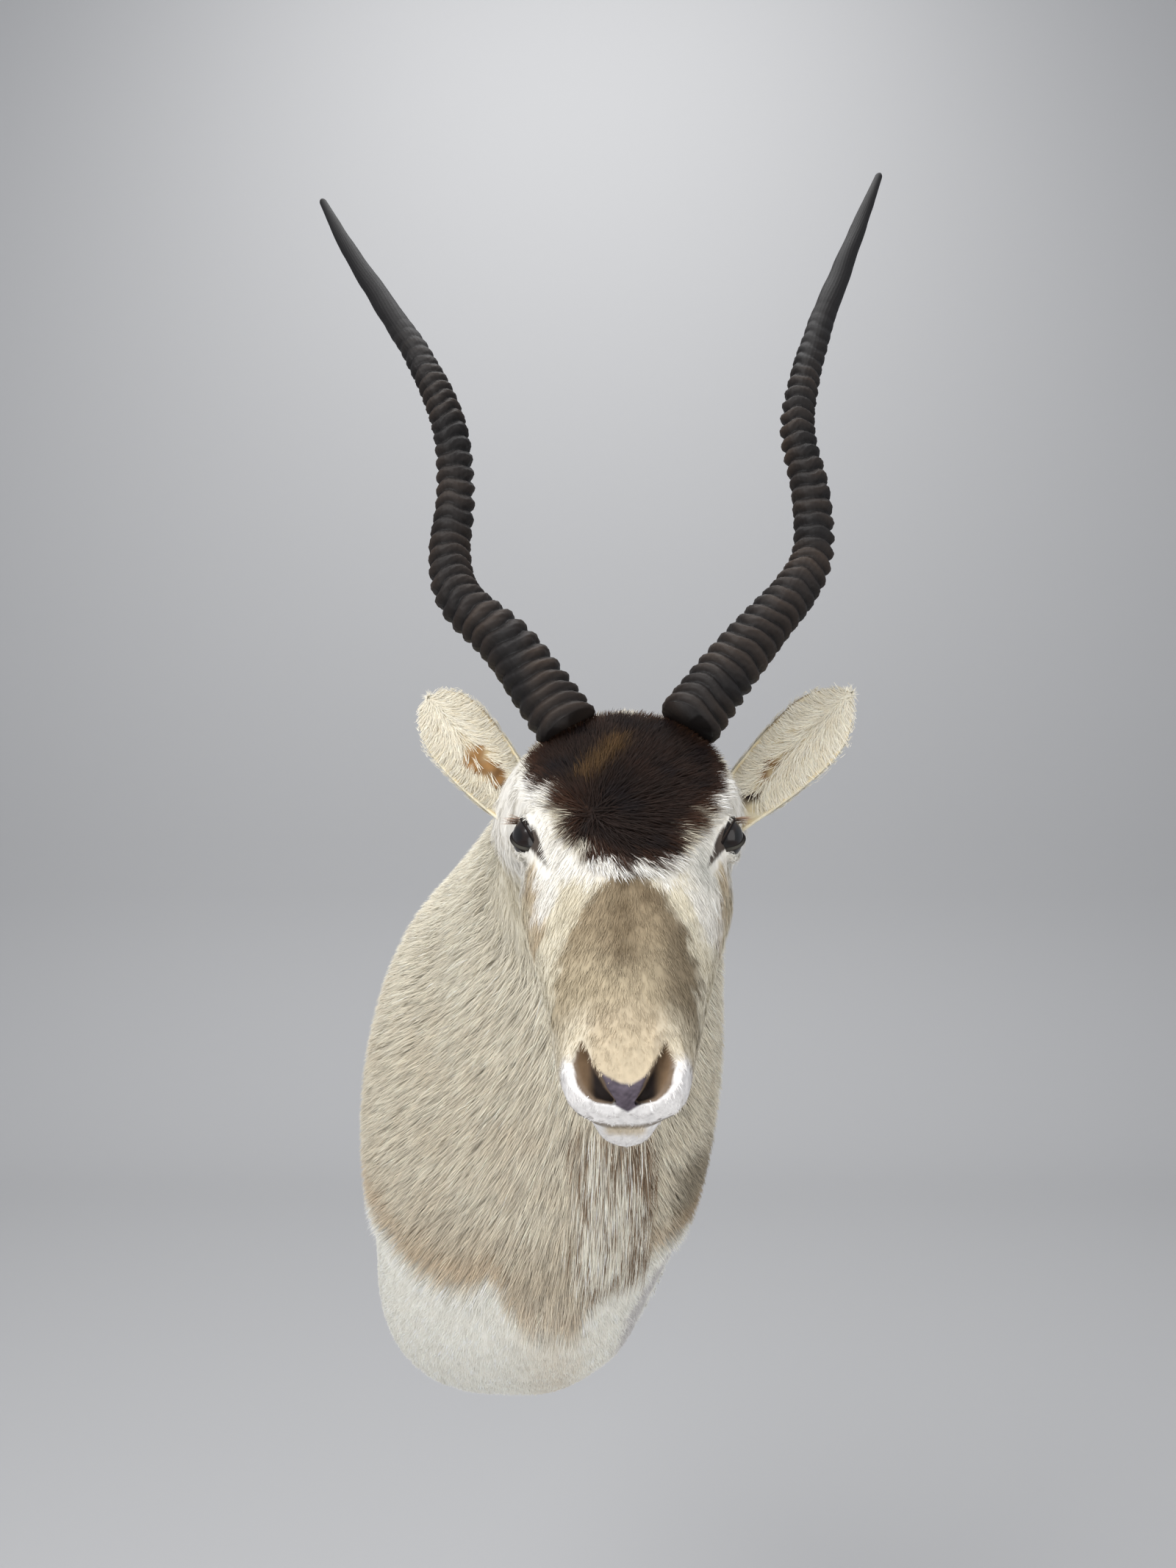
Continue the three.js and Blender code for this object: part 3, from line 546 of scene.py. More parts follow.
def hide_material(name, roughness, streak, streak_size):
    """Hair or skin coloured by the mesh's own colour, with fine streaks of light and dark."""
    made = bpy.data.materials.new(name)
    made.use_nodes = True
    nodes, links = made.node_tree.nodes, made.node_tree.links
    shader = nodes["Principled BSDF"]
    shader.inputs["Roughness"].default_value = roughness
    shader.inputs["Specular IOR Level"].default_value = 0.1
    tint = nodes.new("ShaderNodeVertexColor")
    tint.layer_name = "coat"
    place = nodes.new("ShaderNodeTexCoord")
    stretch = nodes.new("ShaderNodeMapping")
    stretch.inputs["Scale"].default_value = streak_size
    speck = nodes.new("ShaderNodeTexNoise")
    speck.inputs["Scale"].default_value = 1.0
    speck.inputs["Detail"].default_value = 3.0
    level = nodes.new("ShaderNodeMapRange")
    level.inputs["From Min"].default_value = 0.3
    level.inputs["From Max"].default_value = 0.7
    level.inputs["To Min"].default_value = 1.0 - streak
    level.inputs["To Max"].default_value = 1.0 + streak
    shade = nodes.new("ShaderNodeVectorMath")
    shade.operation = "SCALE"
    links.new(place.outputs["Object"], stretch.inputs["Vector"])
    links.new(stretch.outputs["Vector"], speck.inputs["Vector"])
    links.new(speck.outputs["Fac"], level.inputs["Value"])
    links.new(tint.outputs["Color"], shade.inputs[0])
    links.new(level.outputs["Result"], shade.inputs["Scale"])
    links.new(shade.outputs["Vector"], shader.inputs["Base Color"])
    return made


# The room cut in the back of the hide and form for the backboard: a little larger than the
# board all round, with the board's round corners.
ROOM_HALF_WIDE, ROOM_HALF_HIGH, ROOM_CORNER, ROOM_DEEP, ROOM_Z = 125.8, 210.8, 70.8, 18.8, -5


def room_ring(inset, y):
    """The rim of the room, a rectangle with round corners drawn in by inset: where a ray at
    each angle from its middle meets a side, an end or a corner's circle."""
    c, u = np.abs(np.cos(angles)), np.abs(np.sin(angles))
    corner_x, corner_z = ROOM_HALF_WIDE - ROOM_CORNER, ROOM_HALF_HIGH - ROOM_CORNER
    on_side = ROOM_HALF_WIDE / np.maximum(c, 1e-6)
    on_end = ROOM_HALF_HIGH / np.maximum(u, 1e-6)
    toward = c * corner_x + u * corner_z
    inner = np.maximum(toward**2 - corner_x**2 - corner_z**2 + ROOM_CORNER**2, 0)
    far = np.where(on_side * u < corner_z, on_side,
                   np.where(on_end * c < corner_x, on_end, toward + np.sqrt(inner))) - inset
    return np.stack([np.cos(angles) * far, y + 0 * far, ROOM_Z + np.sin(angles) * far], -1)


# The back of the hide from the floor of the room out to the skin's edge: each ring's inset
# and Y, with close pairs that keep the corners sharp.
ROOM_STEPS = [(1.0, -ROOM_DEEP), (0, -ROOM_DEEP), (0, -ROOM_DEEP + 1.0), (0, -1.2), (0, -0.6), (-0.6, 0),
              (-1.6, 0)]
edge = skin[0] + (room_ring(0, 0) - skin[0]) * 0.04
shell = np.concatenate([[room_ring(inset, y) for inset, y in ROOM_STEPS], [edge], skin])
shell_ends = np.stack([shell[0].mean(0), shell[-1].mean(0)])
skin_points = np.vstack([shell.reshape(-1, 3), shell_ends])
# Painted shade: the skin is drawn darker than its coat, by a fifth on the body and less under the hem and on
# the head, as the shade between the hairs.
under_hem = 1 - smooth(above_hem(skin_points), -10, 0)
skin_shade = np.maximum(0.8 + 0.18 * under_hem, 0.95 * headness(skin_points))
skin_colour = bare_colour(skin_points, coat_colour(skin_points) * skin_shade[:, None])
hide = closed_tube("hide", shell, shell_ends, skin_colour[:-2], skin_colour[-2:])
skin_look = hide_material("hide_skin", 0.7, 0.10, (260, 260, 90))
hide.data.materials.append(skin_look)
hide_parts("cape")
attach(hide, "root")

# The coat: short stiff hair that grows from the skin and lies back over it. Each hair is a
# flat blade that narrows to its tip, and hairs stand in small tufts whose tips draw together.
across_skin = np.roll(skin, -1, 1) - np.roll(skin, 1, 1)
along_skin = np.gradient(skin, axis=0)
skin_normal = unit(np.cross(across_skin, along_skin))
cell_area = np.linalg.norm(np.cross(across_skin / 2, along_skin), axis=-1)
SIDEWAYS, FACE_DOWN = np.array([1.0, 0, 0]), np.array([0, -FACE_COS, -FACE_SIN])
# How deep a hair stands in the skin, how far it keeps from the wall, and the share of hairs
# that are lighter than the rest.
ROOT_DEPTH, WALL_GAP, LIGHT_SHARE = 0.4, 0.5, 0.14
# The whorl that the forehead's hair turns away from: aside and along.
WHORL = (-25, 4)


def at_spots(grid, row, col):
    """Values of a grid between its four nearest corners, weighted by nearness; the columns
    close on themselves."""
    i = np.clip(row.astype(int), 0, grid.shape[0] - 2)
    j = col.astype(int) % grid.shape[1]
    k = (j + 1) % grid.shape[1]
    f, g = (row - i)[:, None], (col - np.floor(col))[:, None]
    return (grid[i, j] * (1 - f) * (1 - g) + grid[i + 1, j] * f * (1 - g)
            + grid[i, k] * (1 - f) * g + grid[i + 1, k] * f * g)


def spots_on_hide(count, weight, seed):
    """Random spots: a cell is drawn with the chance of its area times weight, then a spot in
    it. Gives the point and the outward direction of the skin there."""
    rng = np.random.default_rng(seed)
    chance = np.cumsum((cell_area[:-1] * weight[:-1]).ravel())
    cell = np.searchsorted(chance, rng.random(count) * chance[-1])
    row, col = np.divmod(cell, skin.shape[1])
    row, col = row + rng.random(count), col + rng.random(count)
    point = at_spots(skin, row, col)
    return point, unit(at_spots(skin_normal, row, col))


def lie(direction, normal):
    """A direction laid flat on the surface: less its part along the normal, at length one."""
    return unit(direction - normal * np.sum(direction * normal, -1, keepdims=True))


def coat_flow(p, normal):
    """Which way the hair lies: back and down over the body, down and outward over the face,
    and away from the whorl on the forehead."""
    aside, along, over = head_terms(p)
    head = headness(p)
    body = np.array([0, 1.0, -0.5]) + 0 * p
    body[..., 1] -= 0.5 * head
    body[..., 2] -= 0.25 * head
    face = FACE_DOWN + SIDEWAYS * (aside / 55)[..., None]
    cheek = body * 0.6 + FACE_DOWN * 0.4
    on_top = (smooth(over, -40, -14) * smooth(along, -30, 20))[..., None]
    flow = cheek * (1 - on_top) + face * on_top
    flow = body + (flow - body) * (head * smooth(along, -90, -20))[..., None]
    fan = unit(np.stack([aside - WHORL[0], along - WHORL[1]], -1))
    cap_flow = fan[..., :1] * SIDEWAYS + fan[..., 1:] * FACE_DOWN
    on_cap = (smooth(in_cap(aside, along), -6, 2) * (over > -40))[..., None]
    return lie(flow * (1 - on_cap) + cap_flow * on_cap, normal)


def grow(name, root, normal, flow, length, lift, width, colour, seed, per=6, spread=2.2,
         gather=0.45, steps=2, fray=0.12, shade=0.3, contrast=0.14, twist=0.5):
    """A piece of many hairs. Tufts of per hairs stand round each root; a hair's middle line
    runs from its root to its tip and rises by lift times 1 - (1 - s)2, and its width falls
    as the root of 1 - s; tips keep the share gather of the roots' spacing and stray by fray.
    Hairs lighten by shade towards the tip, as painted shade that darkens their roots, differ by contrast and
    roll by up to twist."""
    rng = np.random.default_rng(seed)
    tufts = len(root)
    n = tufts * per
    root, normal, flow, colour = (np.repeat(v, per, 0) for v in (root, normal, flow, colour))
    length, lift, width = (np.repeat(np.broadcast_to(v, tufts), per) for v in (length, lift, width))
    side = np.cross(normal, flow)
    off = rng.normal(size=(n, 2)) * np.minimum(spread, length / 4)[:, None]
    stray = rng.normal(size=(n, 2))[:, 1:] * fray * length[:, None]
    size = rng.uniform(0.7, 1.2, n)
    from_middle = flow * off[:, :1] + side * off[:, 1:]
    root = root + from_middle - normal * ROOT_DEPTH
    reach = flow * (length * size)[:, None] + (gather - 1) * from_middle + side * stray
    rise = (lift * rng.uniform(0.4, 1.1, n)**1.5 * 1.2)[:, None]
    roll = rng.uniform(-twist, twist, n)[:, None]
    blade = side * np.cos(roll) + normal * np.sin(roll)
    s = (np.arange(steps + 1) / steps)[None, :, None]
    line = root[:, None] + reach[:, None] * s + (normal * rise)[:, None] * (1 - (1 - s)**2)
    half = (blade * width[:, None] / 2)[:, None] * np.sqrt(1 - s[:, :-1])
    left, right = line[:, :-1] - half, line[:, :-1] + half
    points = np.concatenate([np.stack([left, right], 2).reshape(n, -1, 3), line[:, -1:]], 1)
    points[..., 1] = np.minimum(points[..., 1], -WALL_GAP)
    tone = rng.normal(1, contrast, (n, 1, 1)) + 1.6 * contrast * (rng.random((n, 1, 1)) < LIGHT_SHARE)
    # Painted shade: each hair darker at its root, where the coat shades it, and lighter to its tip.
    light = (1 - shade) + shade * 1.7 * np.concatenate([np.repeat(s[:, :-1], 2, 1), s[:, -1:]], 1)
    tints = np.clip(colour[:, None] * tone * light, 0.003, 0.9)
    corners = []
    for k in range(0, 2 * steps - 2, 2):
        corners += [(k, k + 2, k + 1), (k + 1, k + 2, k + 3)]
    corners.append((2 * steps - 2, 2 * steps, 2 * steps - 1))
    per_hair = 2 * steps + 1
    faces = (np.arange(n)[:, None, None] * per_hair + np.array(corners)).reshape(-1, 3)
    wide = int(np.ceil(np.sqrt(n)))
    u = (np.arange(n) % wide)[:, None] + np.tile([0.15, 0.85], steps + 1)[:per_hair]
    v = (np.arange(n) // wide)[:, None] + np.repeat(np.linspace(0.05, 0.95, steps + 1), 2)[:per_hair]
    piece = put_mesh(name, points.reshape(-1, 3), faces, tints.reshape(-1, 3),
                     np.stack([u, v], -1).reshape(-1, 2) / wide)
    piece.data.materials.append(hair_look)
    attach(piece, "root")


# Where each kind of hair grows on the skin: the bare nose, lips and ducts and the lid slits
# have none, and the cap and the beard have their own.
hair_look = hide_material("hide_hair", 0.62, 0.0, (1, 1, 1))
grid_aside, grid_along, grid_over = head_terms(skin)
grid_hem = above_hem(skin)
grid_cap = in_cap(grid_aside, grid_along) * (grid_over > -45) - 50 * (grid_over <= -45)
bare = nostril_depth(skin) * 6 + mouth_line(skin) + 2 * nose_pad(skin) + 2 * tear_duct(skin, 3)
clear = 1 - np.clip(bare, 0, 1)
for side in (-1, 1):
    centre, out, slit, up = eye_frame(side)
    q = skin - centre
    clear = clear * ~((np.hypot(q @ slit / 16.6, (q @ up - 0.8) / 8.8) < 1) & (q @ out > 0))
on_head = headness(skin)
is_cap = grid_cap > 7
BEARD_MIDDLE, BEARD_REACH = 84, 26
is_beard = np.exp(-((skin[..., 0] - BEARD_MIDDLE) / BEARD_REACH)**4) * smooth(-skin[..., 2], -135, -60) \
    * (skin[..., 2] > -40) * (skin[..., 1] < -200) * (grid_over < -165)

# Length of the coat's hair and how high its tips stand, on the body and on the cheeks.
BODY_HAIR, CHEEK_HAIR = 36, 10
BODY_LIFT, CHEEK_LIFT = 7.5, 1.6


def coat_piece(name, tufts, weight, seed, **style):
    """Tufts over one part of the hide. The coat is longest on the body and shortest on the
    nose; it is shorter round the eyes and under the hem, longer on the temples, and each
    tuft is a little lighter or darker than its neighbours."""
    p, normal = spots_on_hide(tufts, weight, seed)
    aside, along, _ = head_terms(p)
    head = headness(p)
    below_hem = (1 - smooth(above_hem(p), -14, 0)) * (1 - head)
    on_nose = smooth(along, 150, 196)
    length = BODY_HAIR - head * (BODY_HAIR - CHEEK_HAIR + 3 * smooth(along, 50, 110) + 3.6 * on_nose)
    lift = BODY_LIFT - head * (BODY_LIFT - CHEEK_LIFT + 1.1 * on_nose)
    eye_gap = np.minimum(*[np.linalg.norm(p - eye_frame(side)[0], axis=-1) for side in (-1, 1)])
    length *= 0.45 + 0.55 * smooth(eye_gap, 18, 34)
    temple = np.exp(-((np.abs(aside) - 94) / 22)**2 - ((along + 36) / 30)**2) * head
    length += 7 * temple
    lift += 2.5 * temple
    length *= 1 - 0.5 * below_hem
    lift *= 1 - 0.75 * below_hem
    lock = np.random.default_rng(seed + 200).normal(1, 0.07, (len(p), 1))
    grow(name, p, normal, coat_flow(p, normal), length, lift, 0.7 - 0.2 * head,
         coat_colour(p) * lock, seed, **style)


HEM_EDGE, FRONT_X = -3, 40
body_weight = (1 - on_head) * (grid_hem > HEM_EDGE) * (1 - 0.5 * is_beard)
long_coat = dict(contrast=0.16, shade=0.24, spread=2.8, gather=0.3, fray=0.05, twist=0.4)
coat_piece("coat_side", 10500, body_weight * (skin[..., 0] < FRONT_X), 11, **long_coat)
coat_piece("coat_front", 10500, body_weight * (skin[..., 0] >= FRONT_X), 12, **long_coat)
coat_piece("coat_chest", 7000, (1 - on_head) * (grid_hem <= HEM_EDGE), 13, contrast=0.03, shade=0.03,
           twist=0.15)
face_weight = on_head * clear * ~is_cap * (0.35 + smooth(grid_along, -40, 20))
coat_piece("coat_face", 10500, face_weight, 14, contrast=0.05, shade=0.08, spread=1.8, gather=0.6,
           twist=0.3)

# The beard: longer strands, cream and brown, that hang from the throat, with more brown ones
# to the animal's left and higher up.
BEARD_CREAM, BEARD_BROWN = linear(232, 225, 208), linear(128, 108, 88)
BEARD_SHORTEST, BEARD_LONGEST = 46, 74
p, normal = spots_on_hide(1700, is_beard, 15)
rng = np.random.default_rng(115)
brown_share = 0.22 + 0.3 * smooth(p[:, 0], 88, 108) + 0.25 * smooth(p[:, 2], 60, 100)
strand = blend(BEARD_CREAM, BEARD_BROWN, (rng.random(len(p)) < brown_share) * 1.0)
fall = np.stack([(p[:, 0] - 80) / 260, 0.25 + 0 * p[:, 0], -1 + 0 * p[:, 0]], -1)
hang = rng.uniform(BEARD_SHORTEST, BEARD_LONGEST, len(p))
grow("beard", p, normal, lie(fall, normal), hang, rng.uniform(4, 10, len(p)), 0.8, strand, 15,
     spread=2.0, gather=0.5, steps=3, fray=0.03, shade=0.2, twist=0.3)

# The cap: a dark brown tuft of longer hair over the forehead, with a golden streak on the
# animal's right, and longest round the feet of the horns.
CAP_GOLD, GOLD_STREAK = linear(104, 78, 44), [(-28, -20), (-10, -50)]
HORN_FEET = ((22, -505, 467), (157, -507, 464))
p, normal = spots_on_hide(4200, is_cap * clear, 16)
aside, along, over = head_terms(p)
streak, _ = line_distance(aside, along, GOLD_STREAK)
brown = blend(coat_colour(p), CAP_GOLD, np.exp(-(streak / 6)**2) * 0.4)
by_horn = np.min([np.linalg.norm(p - np.array(foot), axis=1) for foot in HORN_FEET], 0)
tuft = 1 - smooth(by_horn, 24, 38)
grow("cap", p, normal, coat_flow(p, normal), 18 + 6 * tuft, 4.5 + 9 * tuft, 0.7, brown, 16, spread=2.4,
     steps=3, shade=0.4, contrast=0.13, fray=0.14)

# The ears: leaves of the same hide over cartilage, rolled into cups that open forwards, pale
# inside with longer hairs across bare brown hollows.

# Each ear's root, its tip, its side, and the power that blunts or points its tip.
EARS = {"ear_right": ((19, -510, 366), (-70, -400, 463), -1, 0.5),
        "ear_left": ((164, -510, 366), (283, -400, 467), 1, 0.85)}
# Places of the bare brown hollows in each ear: along it, across it, reach each way, and darkness, how far
# painted shade deepens the hollow's brown.
HOLLOWS = {
    "ear_right": [(0.48, -0.08, 0.12, 0.5, 0.1), (0.33, 0.0, 0.1, 0.44, 0.35), (0.21, 0.05, 0.07, 0.34, 0.7)],
    "ear_left": [(0.36, 0.05, 0.08, 0.3, 0.4), (0.2, -0.25, 0.07, 0.3, 1.0)],
}
EAR_BACK, EAR_INSIDE, EAR_CUP_SHADE = linear(212, 204, 180), linear(214, 194, 150), linear(184, 164, 128)
EAR_GOLD, EAR_TIP_SHADE, EAR_RIM_BROWN = linear(220, 192, 122), linear(156, 130, 96), linear(96, 78, 56)
HOLLOW_TAN, HOLLOW_SHADE_BROWN = linear(146, 108, 64), linear(52, 35, 23)
EAR_HAIR_WHITE, EAR_HAIR_CREAM = linear(232, 227, 212), linear(222, 206, 172)
EAR_ROWS, EAR_RING = 90, 96
EAR_HAIRS = 2300
WIDEST, EAR_THICK = 0.62, 4


def leaf_thickness(a):
    """Thickness of the leaf: full at the root and thinning evenly towards the tip."""
    return EAR_THICK * (1 - 0.6 * a)


def ear_point(ear, a, b, deep):
    """A point of the leaf: a runs from root to tip, b across it, deep is how far it lies
    under the inner face. The leaf is an arc whose turn shrinks towards the tip."""
    root, tip, side, blunt = EARS[ear]
    root, tip = np.array(root, float), np.array(tip, float)
    axis = unit(tip - root)
    facing = unit(np.array([0, -1.0, 0]) + axis * axis[1])
    edgeward = np.cross(axis, facing) * -side
    past = np.maximum(a - WIDEST, 0) / (1 - WIDEST)
    half = 14 + 12 * np.sin(np.pi / 2 * np.clip(a / WIDEST, 0, 1))
    half = half * (1 - 0.97 * past**2)**blunt
    half_turn = (3.1 - 1.85 * a) / 2
    radius = half / np.sin(half_turn)
    folds = 0.9 * np.sin(b * 9 + 1.2) * smooth(a, 0.2, 0.5) * (1 - b * b)
    out = (radius + deep + folds)[..., None]
    swing = (b * half_turn)[..., None]
    return root + (tip - root) * a[..., None] + edgeward * out * np.sin(swing) \
        + facing * (radius[..., None] - out * np.cos(swing) - 6)


def ear_colour(ear, a, b, inside, rough):
    """The leaf's skin: cream, with painted shade down the middle of the inside, golden at the
    outer edge, painted shade near the rolled tip, brown on the rim, with the hollows laid
    over and their brown deepened by painted shade. Each patch falls off as exp of minus the
    distances in reaches, squared or to the fourth power."""
    tone = blend(EAR_BACK, EAR_INSIDE, np.clip(0.3 + 0.6 * rough, 0, 1) * inside)
    # Painted shade down the middle of the ear's cup.
    cup_shade = np.exp(-((a - 0.42) / 0.28)**2 - (b / 0.7)**2)
    tone = blend(tone, EAR_CUP_SHADE, cup_shade * inside * 0.6)
    outer_edge = np.exp(-((a - 0.42) / 0.1)**2 - ((b - 0.7) / 0.2)**2)
    tone = blend(tone, EAR_GOLD, outer_edge * inside)
    # Painted shade where the tip rolls over.
    near_tip = np.exp(-((a - 0.84) / 0.1)**2 - ((b + 0.45) / 0.16)**2)
    tone = blend(tone, EAR_TIP_SHADE, near_tip * inside * 0.7)
    tone = blend(tone, EAR_RIM_BROWN, smooth(b, 0.955, 0.99) * smooth(a, 0.3, 0.5) * 0.7)
    # Each hollow is bare brown skin, deepened towards near black by painted shade as its darkness grows.
    for at, off, reach, wide, dark in HOLLOWS[ear]:
        hollow = np.exp(-((a - at) / reach)**4 - ((b - off + 0.25 * np.sin(a * 30)) / wide)**4)
        tone = blend(tone, blend(HOLLOW_TAN, HOLLOW_SHADE_BROWN, dark + 0.25 * rough), hollow * inside)
    return tone


for ear, (root, tip, side, blunt) in EARS.items():
    a, ring = np.meshgrid(np.linspace(0, 1, EAR_ROWS)**0.85,
                          np.linspace(0, 2 * np.pi, EAR_RING, endpoint=False), indexing="ij")
    b = -np.cos(ring)
    face = np.sign(np.sin(ring)) * np.abs(np.sin(ring))**0.35
    p = ear_point(ear, a, b, leaf_thickness(a) * (0.5 - 0.5 * face))
    tone = ear_colour(ear, a, b, face > 0, waves(p, 20, 31))
    points = np.vstack([p.reshape(-1, 3), tip])
    j = np.arange(EAR_RING)
    last = (EAR_ROWS - 1) * EAR_RING
    m = np.arange(EAR_RING // 2 - 1)
    opposite = EAR_RING - 1 - m
    faces = np.vstack([halved(grid_faces(EAR_ROWS, EAR_RING, True)), np.stack([m + 1, m, opposite], 1),
                       np.stack([m + 1, opposite, opposite - 1], 1),
                       np.stack([last + j, last + (j + 1) % EAR_RING, last + EAR_RING + 0 * j], 1)])
    leaf = put_mesh(ear, points, outward(points - points.mean(0), faces),
                    np.vstack([tone.reshape(-1, 3), tone[-1, :1]]),
                    np.vstack([spread_grid(EAR_ROWS, EAR_RING), [0.5, 0.999]]))
    leaf.data.materials.append(skin_look)
    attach(leaf, "root")

    rng = np.random.default_rng(40 + side)
    a = 0.12 + 0.87 * rng.random(EAR_HAIRS)
    b = rng.uniform(-1, 1, EAR_HAIRS)
    b = np.sign(b) * np.abs(b)**0.7
    front = rng.random(EAR_HAIRS) < 0.55
    deep = np.where(front, 0, leaf_thickness(a))
    p = ear_point(ear, a, b, deep)
    toward = ear_point(ear, a, b, deep + 0.5) - p
    normal = unit(np.where(front[:, None], -toward, toward))
    up_leaf = unit(ear_point(ear, a + 0.01, b, deep) - p)
    cross_leaf = unit(ear_point(ear, a, b + 0.01, deep) - p)
    flow = lie(up_leaf - cross_leaf * (b * np.where(front, 1.1, -0.25))[:, None], normal)
    keep = np.ones(EAR_HAIRS, bool)
    for at, off, reach, wide, _ in HOLLOWS[ear]:
        in_hollow = front & (np.hypot((a + 0.05 - at) / reach, (b - off) / wide) < 1.1)
        keep &= ~(in_hollow & (rng.random(EAR_HAIRS) < 0.94))
    tone = blend(EAR_HAIR_WHITE, EAR_HAIR_CREAM, rng.random(EAR_HAIRS) * 0.5)
    length = np.where(front, 11 + 7 * (1 - a), 8)
    lift = np.where(front, 3.5, 1.8)
    grow(ear + "_hair", p[keep], normal[keep], flow[keep], length[keep], lift[keep], 0.5, tone[keep],
         50 + side, per=5, spread=2.5, gather=0.3, steps=3, shade=0.16, contrast=0.08, fray=0.1, twist=0.3)

# The eyes: glass balls, near black with a brown edge, set between bare dark lids. A dark
# tear duct runs on from each inner corner, and lashes stand over the outer half.
glass = bpy.data.materials.new("eye_glass")
glass.use_nodes = True
shader = glass.node_tree.nodes["Principled BSDF"]
shader.inputs["Roughness"].default_value = 0.3
shader.inputs["Specular IOR Level"].default_value = 0.2
shader.inputs["Coat Weight"].default_value = 0.45
shader.inputs["Coat Roughness"].default_value = 0.02
tint = glass.node_tree.nodes.new("ShaderNodeVertexColor")
tint.layer_name = "coat"
glass.node_tree.links.new(tint.outputs["Color"], shader.inputs["Base Color"])
GLASS_PUPIL, GLASS_BROWN, GLASS_EDGE = linear(8, 6, 6), linear(26, 17, 14), linear(14, 11, 10)
GLASS_FRONT, GLASS_BACK = linear(14, 10, 10), linear(24, 18, 17)
LID_BLACK, LID_SHEEN, LID_BROWN = linear(24, 20, 20), linear(66, 64, 58), linear(48, 40, 35)
LASH_BROWN = linear(146, 118, 98)
GLASS_ROWS, GLASS_COLUMNS, LID_SIDES = 48, 64, 96
# From the slit's edge outwards, over and back under the lid: how far the almond is widened,
# and the height over the glass.
LID_WIDER = np.array([0, 0, 0.03, 0.07, 0.12, 0.16, 0.2, 0.22, 0.15])
LID_HEIGHT = np.array([-1.5, 0.3, 0.9, 1.3, 1.6, 1.8, 1.7, 0.8, -2.0])
# The slit's half length, and how far it opens up and down from its middle line.
SLIT_HALF, SLIT_UP, SLIT_DOWN = 14.2, 7.4, 6.2


def lid_slit(around):
    """The slit between the lids, as distances along it and up across it: an almond whose
    opening follows a sine and is narrower towards the tear duct."""
    opening = np.where(np.sin(around) > 0, SLIT_UP, SLIT_DOWN)
    taper = 1 - 0.25 * np.cos(around) * np.abs(np.cos(around))
    return SLIT_HALF * np.cos(around), np.sin(around) * opening * taper


def on_glass(side, along, across, height):
    """Points over the glass at distances along and across the slit, seen from outside the
    eye, at a height over the ball."""
    centre, out, slit, up = eye_frame(side)
    flat = along[..., None] * slit + across[..., None] * up
    depth = np.sqrt(np.maximum(EYE_RADIUS**2 - np.sum(flat**2, -1), 9))
    return centre + unit(flat + out * depth[..., None]) * (EYE_RADIUS + height)[..., None]


for side, name in ((-1, "right"), (1, "left")):
    centre, out, slit, up = eye_frame(side)
    spin = np.linspace(0, 2 * np.pi, GLASS_COLUMNS, endpoint=False)
    tilts, spins = np.meshgrid(np.linspace(0.02, np.pi - 0.02, GLASS_ROWS), spin, indexing="ij")
    ahead, along, across = np.cos(tilts), np.sin(tilts) * np.cos(spins), np.sin(tilts) * np.sin(spins)
    way = ahead[..., None] * out + along[..., None] * slit + across[..., None] * up
    pupil = np.hypot(along / 0.42, across / 0.26)
    tone = blend(GLASS_PUPIL, GLASS_BROWN, smooth(pupil, 0.8, 1.2))
    tone = blend(tone, GLASS_EDGE, smooth(tilts, 0.6, 0.9))
    poles = np.stack([centre + out * EYE_RADIUS, centre - out * EYE_RADIUS])
    eye = closed_tube("glass_eye_" + name, centre + way * EYE_RADIUS, poles, tone,
                      [GLASS_FRONT, GLASS_BACK])
    eye.data.materials.append(glass)
    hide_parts("eye_" + name)
    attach(eye, "root")

    around = np.linspace(0, 2 * np.pi, LID_SIDES, endpoint=False)
    e, g = np.meshgrid(np.linspace(0, 1, len(LID_WIDER)), around, indexing="ij")
    wider = 1 + LID_WIDER[:, None]
    along, across = lid_slit(g)
    p = on_glass(side, along * wider, across * wider, LID_HEIGHT[:, None] + 0 * g).reshape(-1, 3)
    # Painted sheen of wet skin on the lower lid towards the inner corner.
    lid_sheen = smooth(-np.sin(g), 0.2, 0.8) * smooth(np.cos(g), -0.4, 0.4)
    tone = blend(blend(LID_BLACK, LID_SHEEN, lid_sheen), LID_BROWN, smooth(e, 0.4, 0.8))
    faces = halved(grid_faces(len(LID_WIDER) + 1, LID_SIDES, True) % len(p))
    lids = put_mesh("lids_" + name, p, outward(p - centre, faces), tone.reshape(-1, 3),
                    spread_grid(len(LID_WIDER), LID_SIDES))
    lids.data.materials.append(skin_look)
    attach(lids, "root")

    rng = np.random.default_rng(70 + side)
    along, across = lid_slit(rng.uniform(2.3, 3.2, 34))
    root = on_glass(side, along * 1.08, across * 1.08, 1.6 + 0 * along)
    outer = unit(np.array([side * 1.0, 0.15, 0.04]) + 0.16 * rng.normal(size=root.shape))
    grow("lashes_" + name, root, up + 0 * root, outer, rng.uniform(8, 14, len(root)), 0.4, 0.45,
         LASH_BROWN + 0 * root, 80 + side, per=3, spread=0.6, gather=0.7, steps=3, fray=0.05)

# The horns: grown keratin over bony cores, in a long spiral, with rings over the lower part
# and a smooth dark tip.

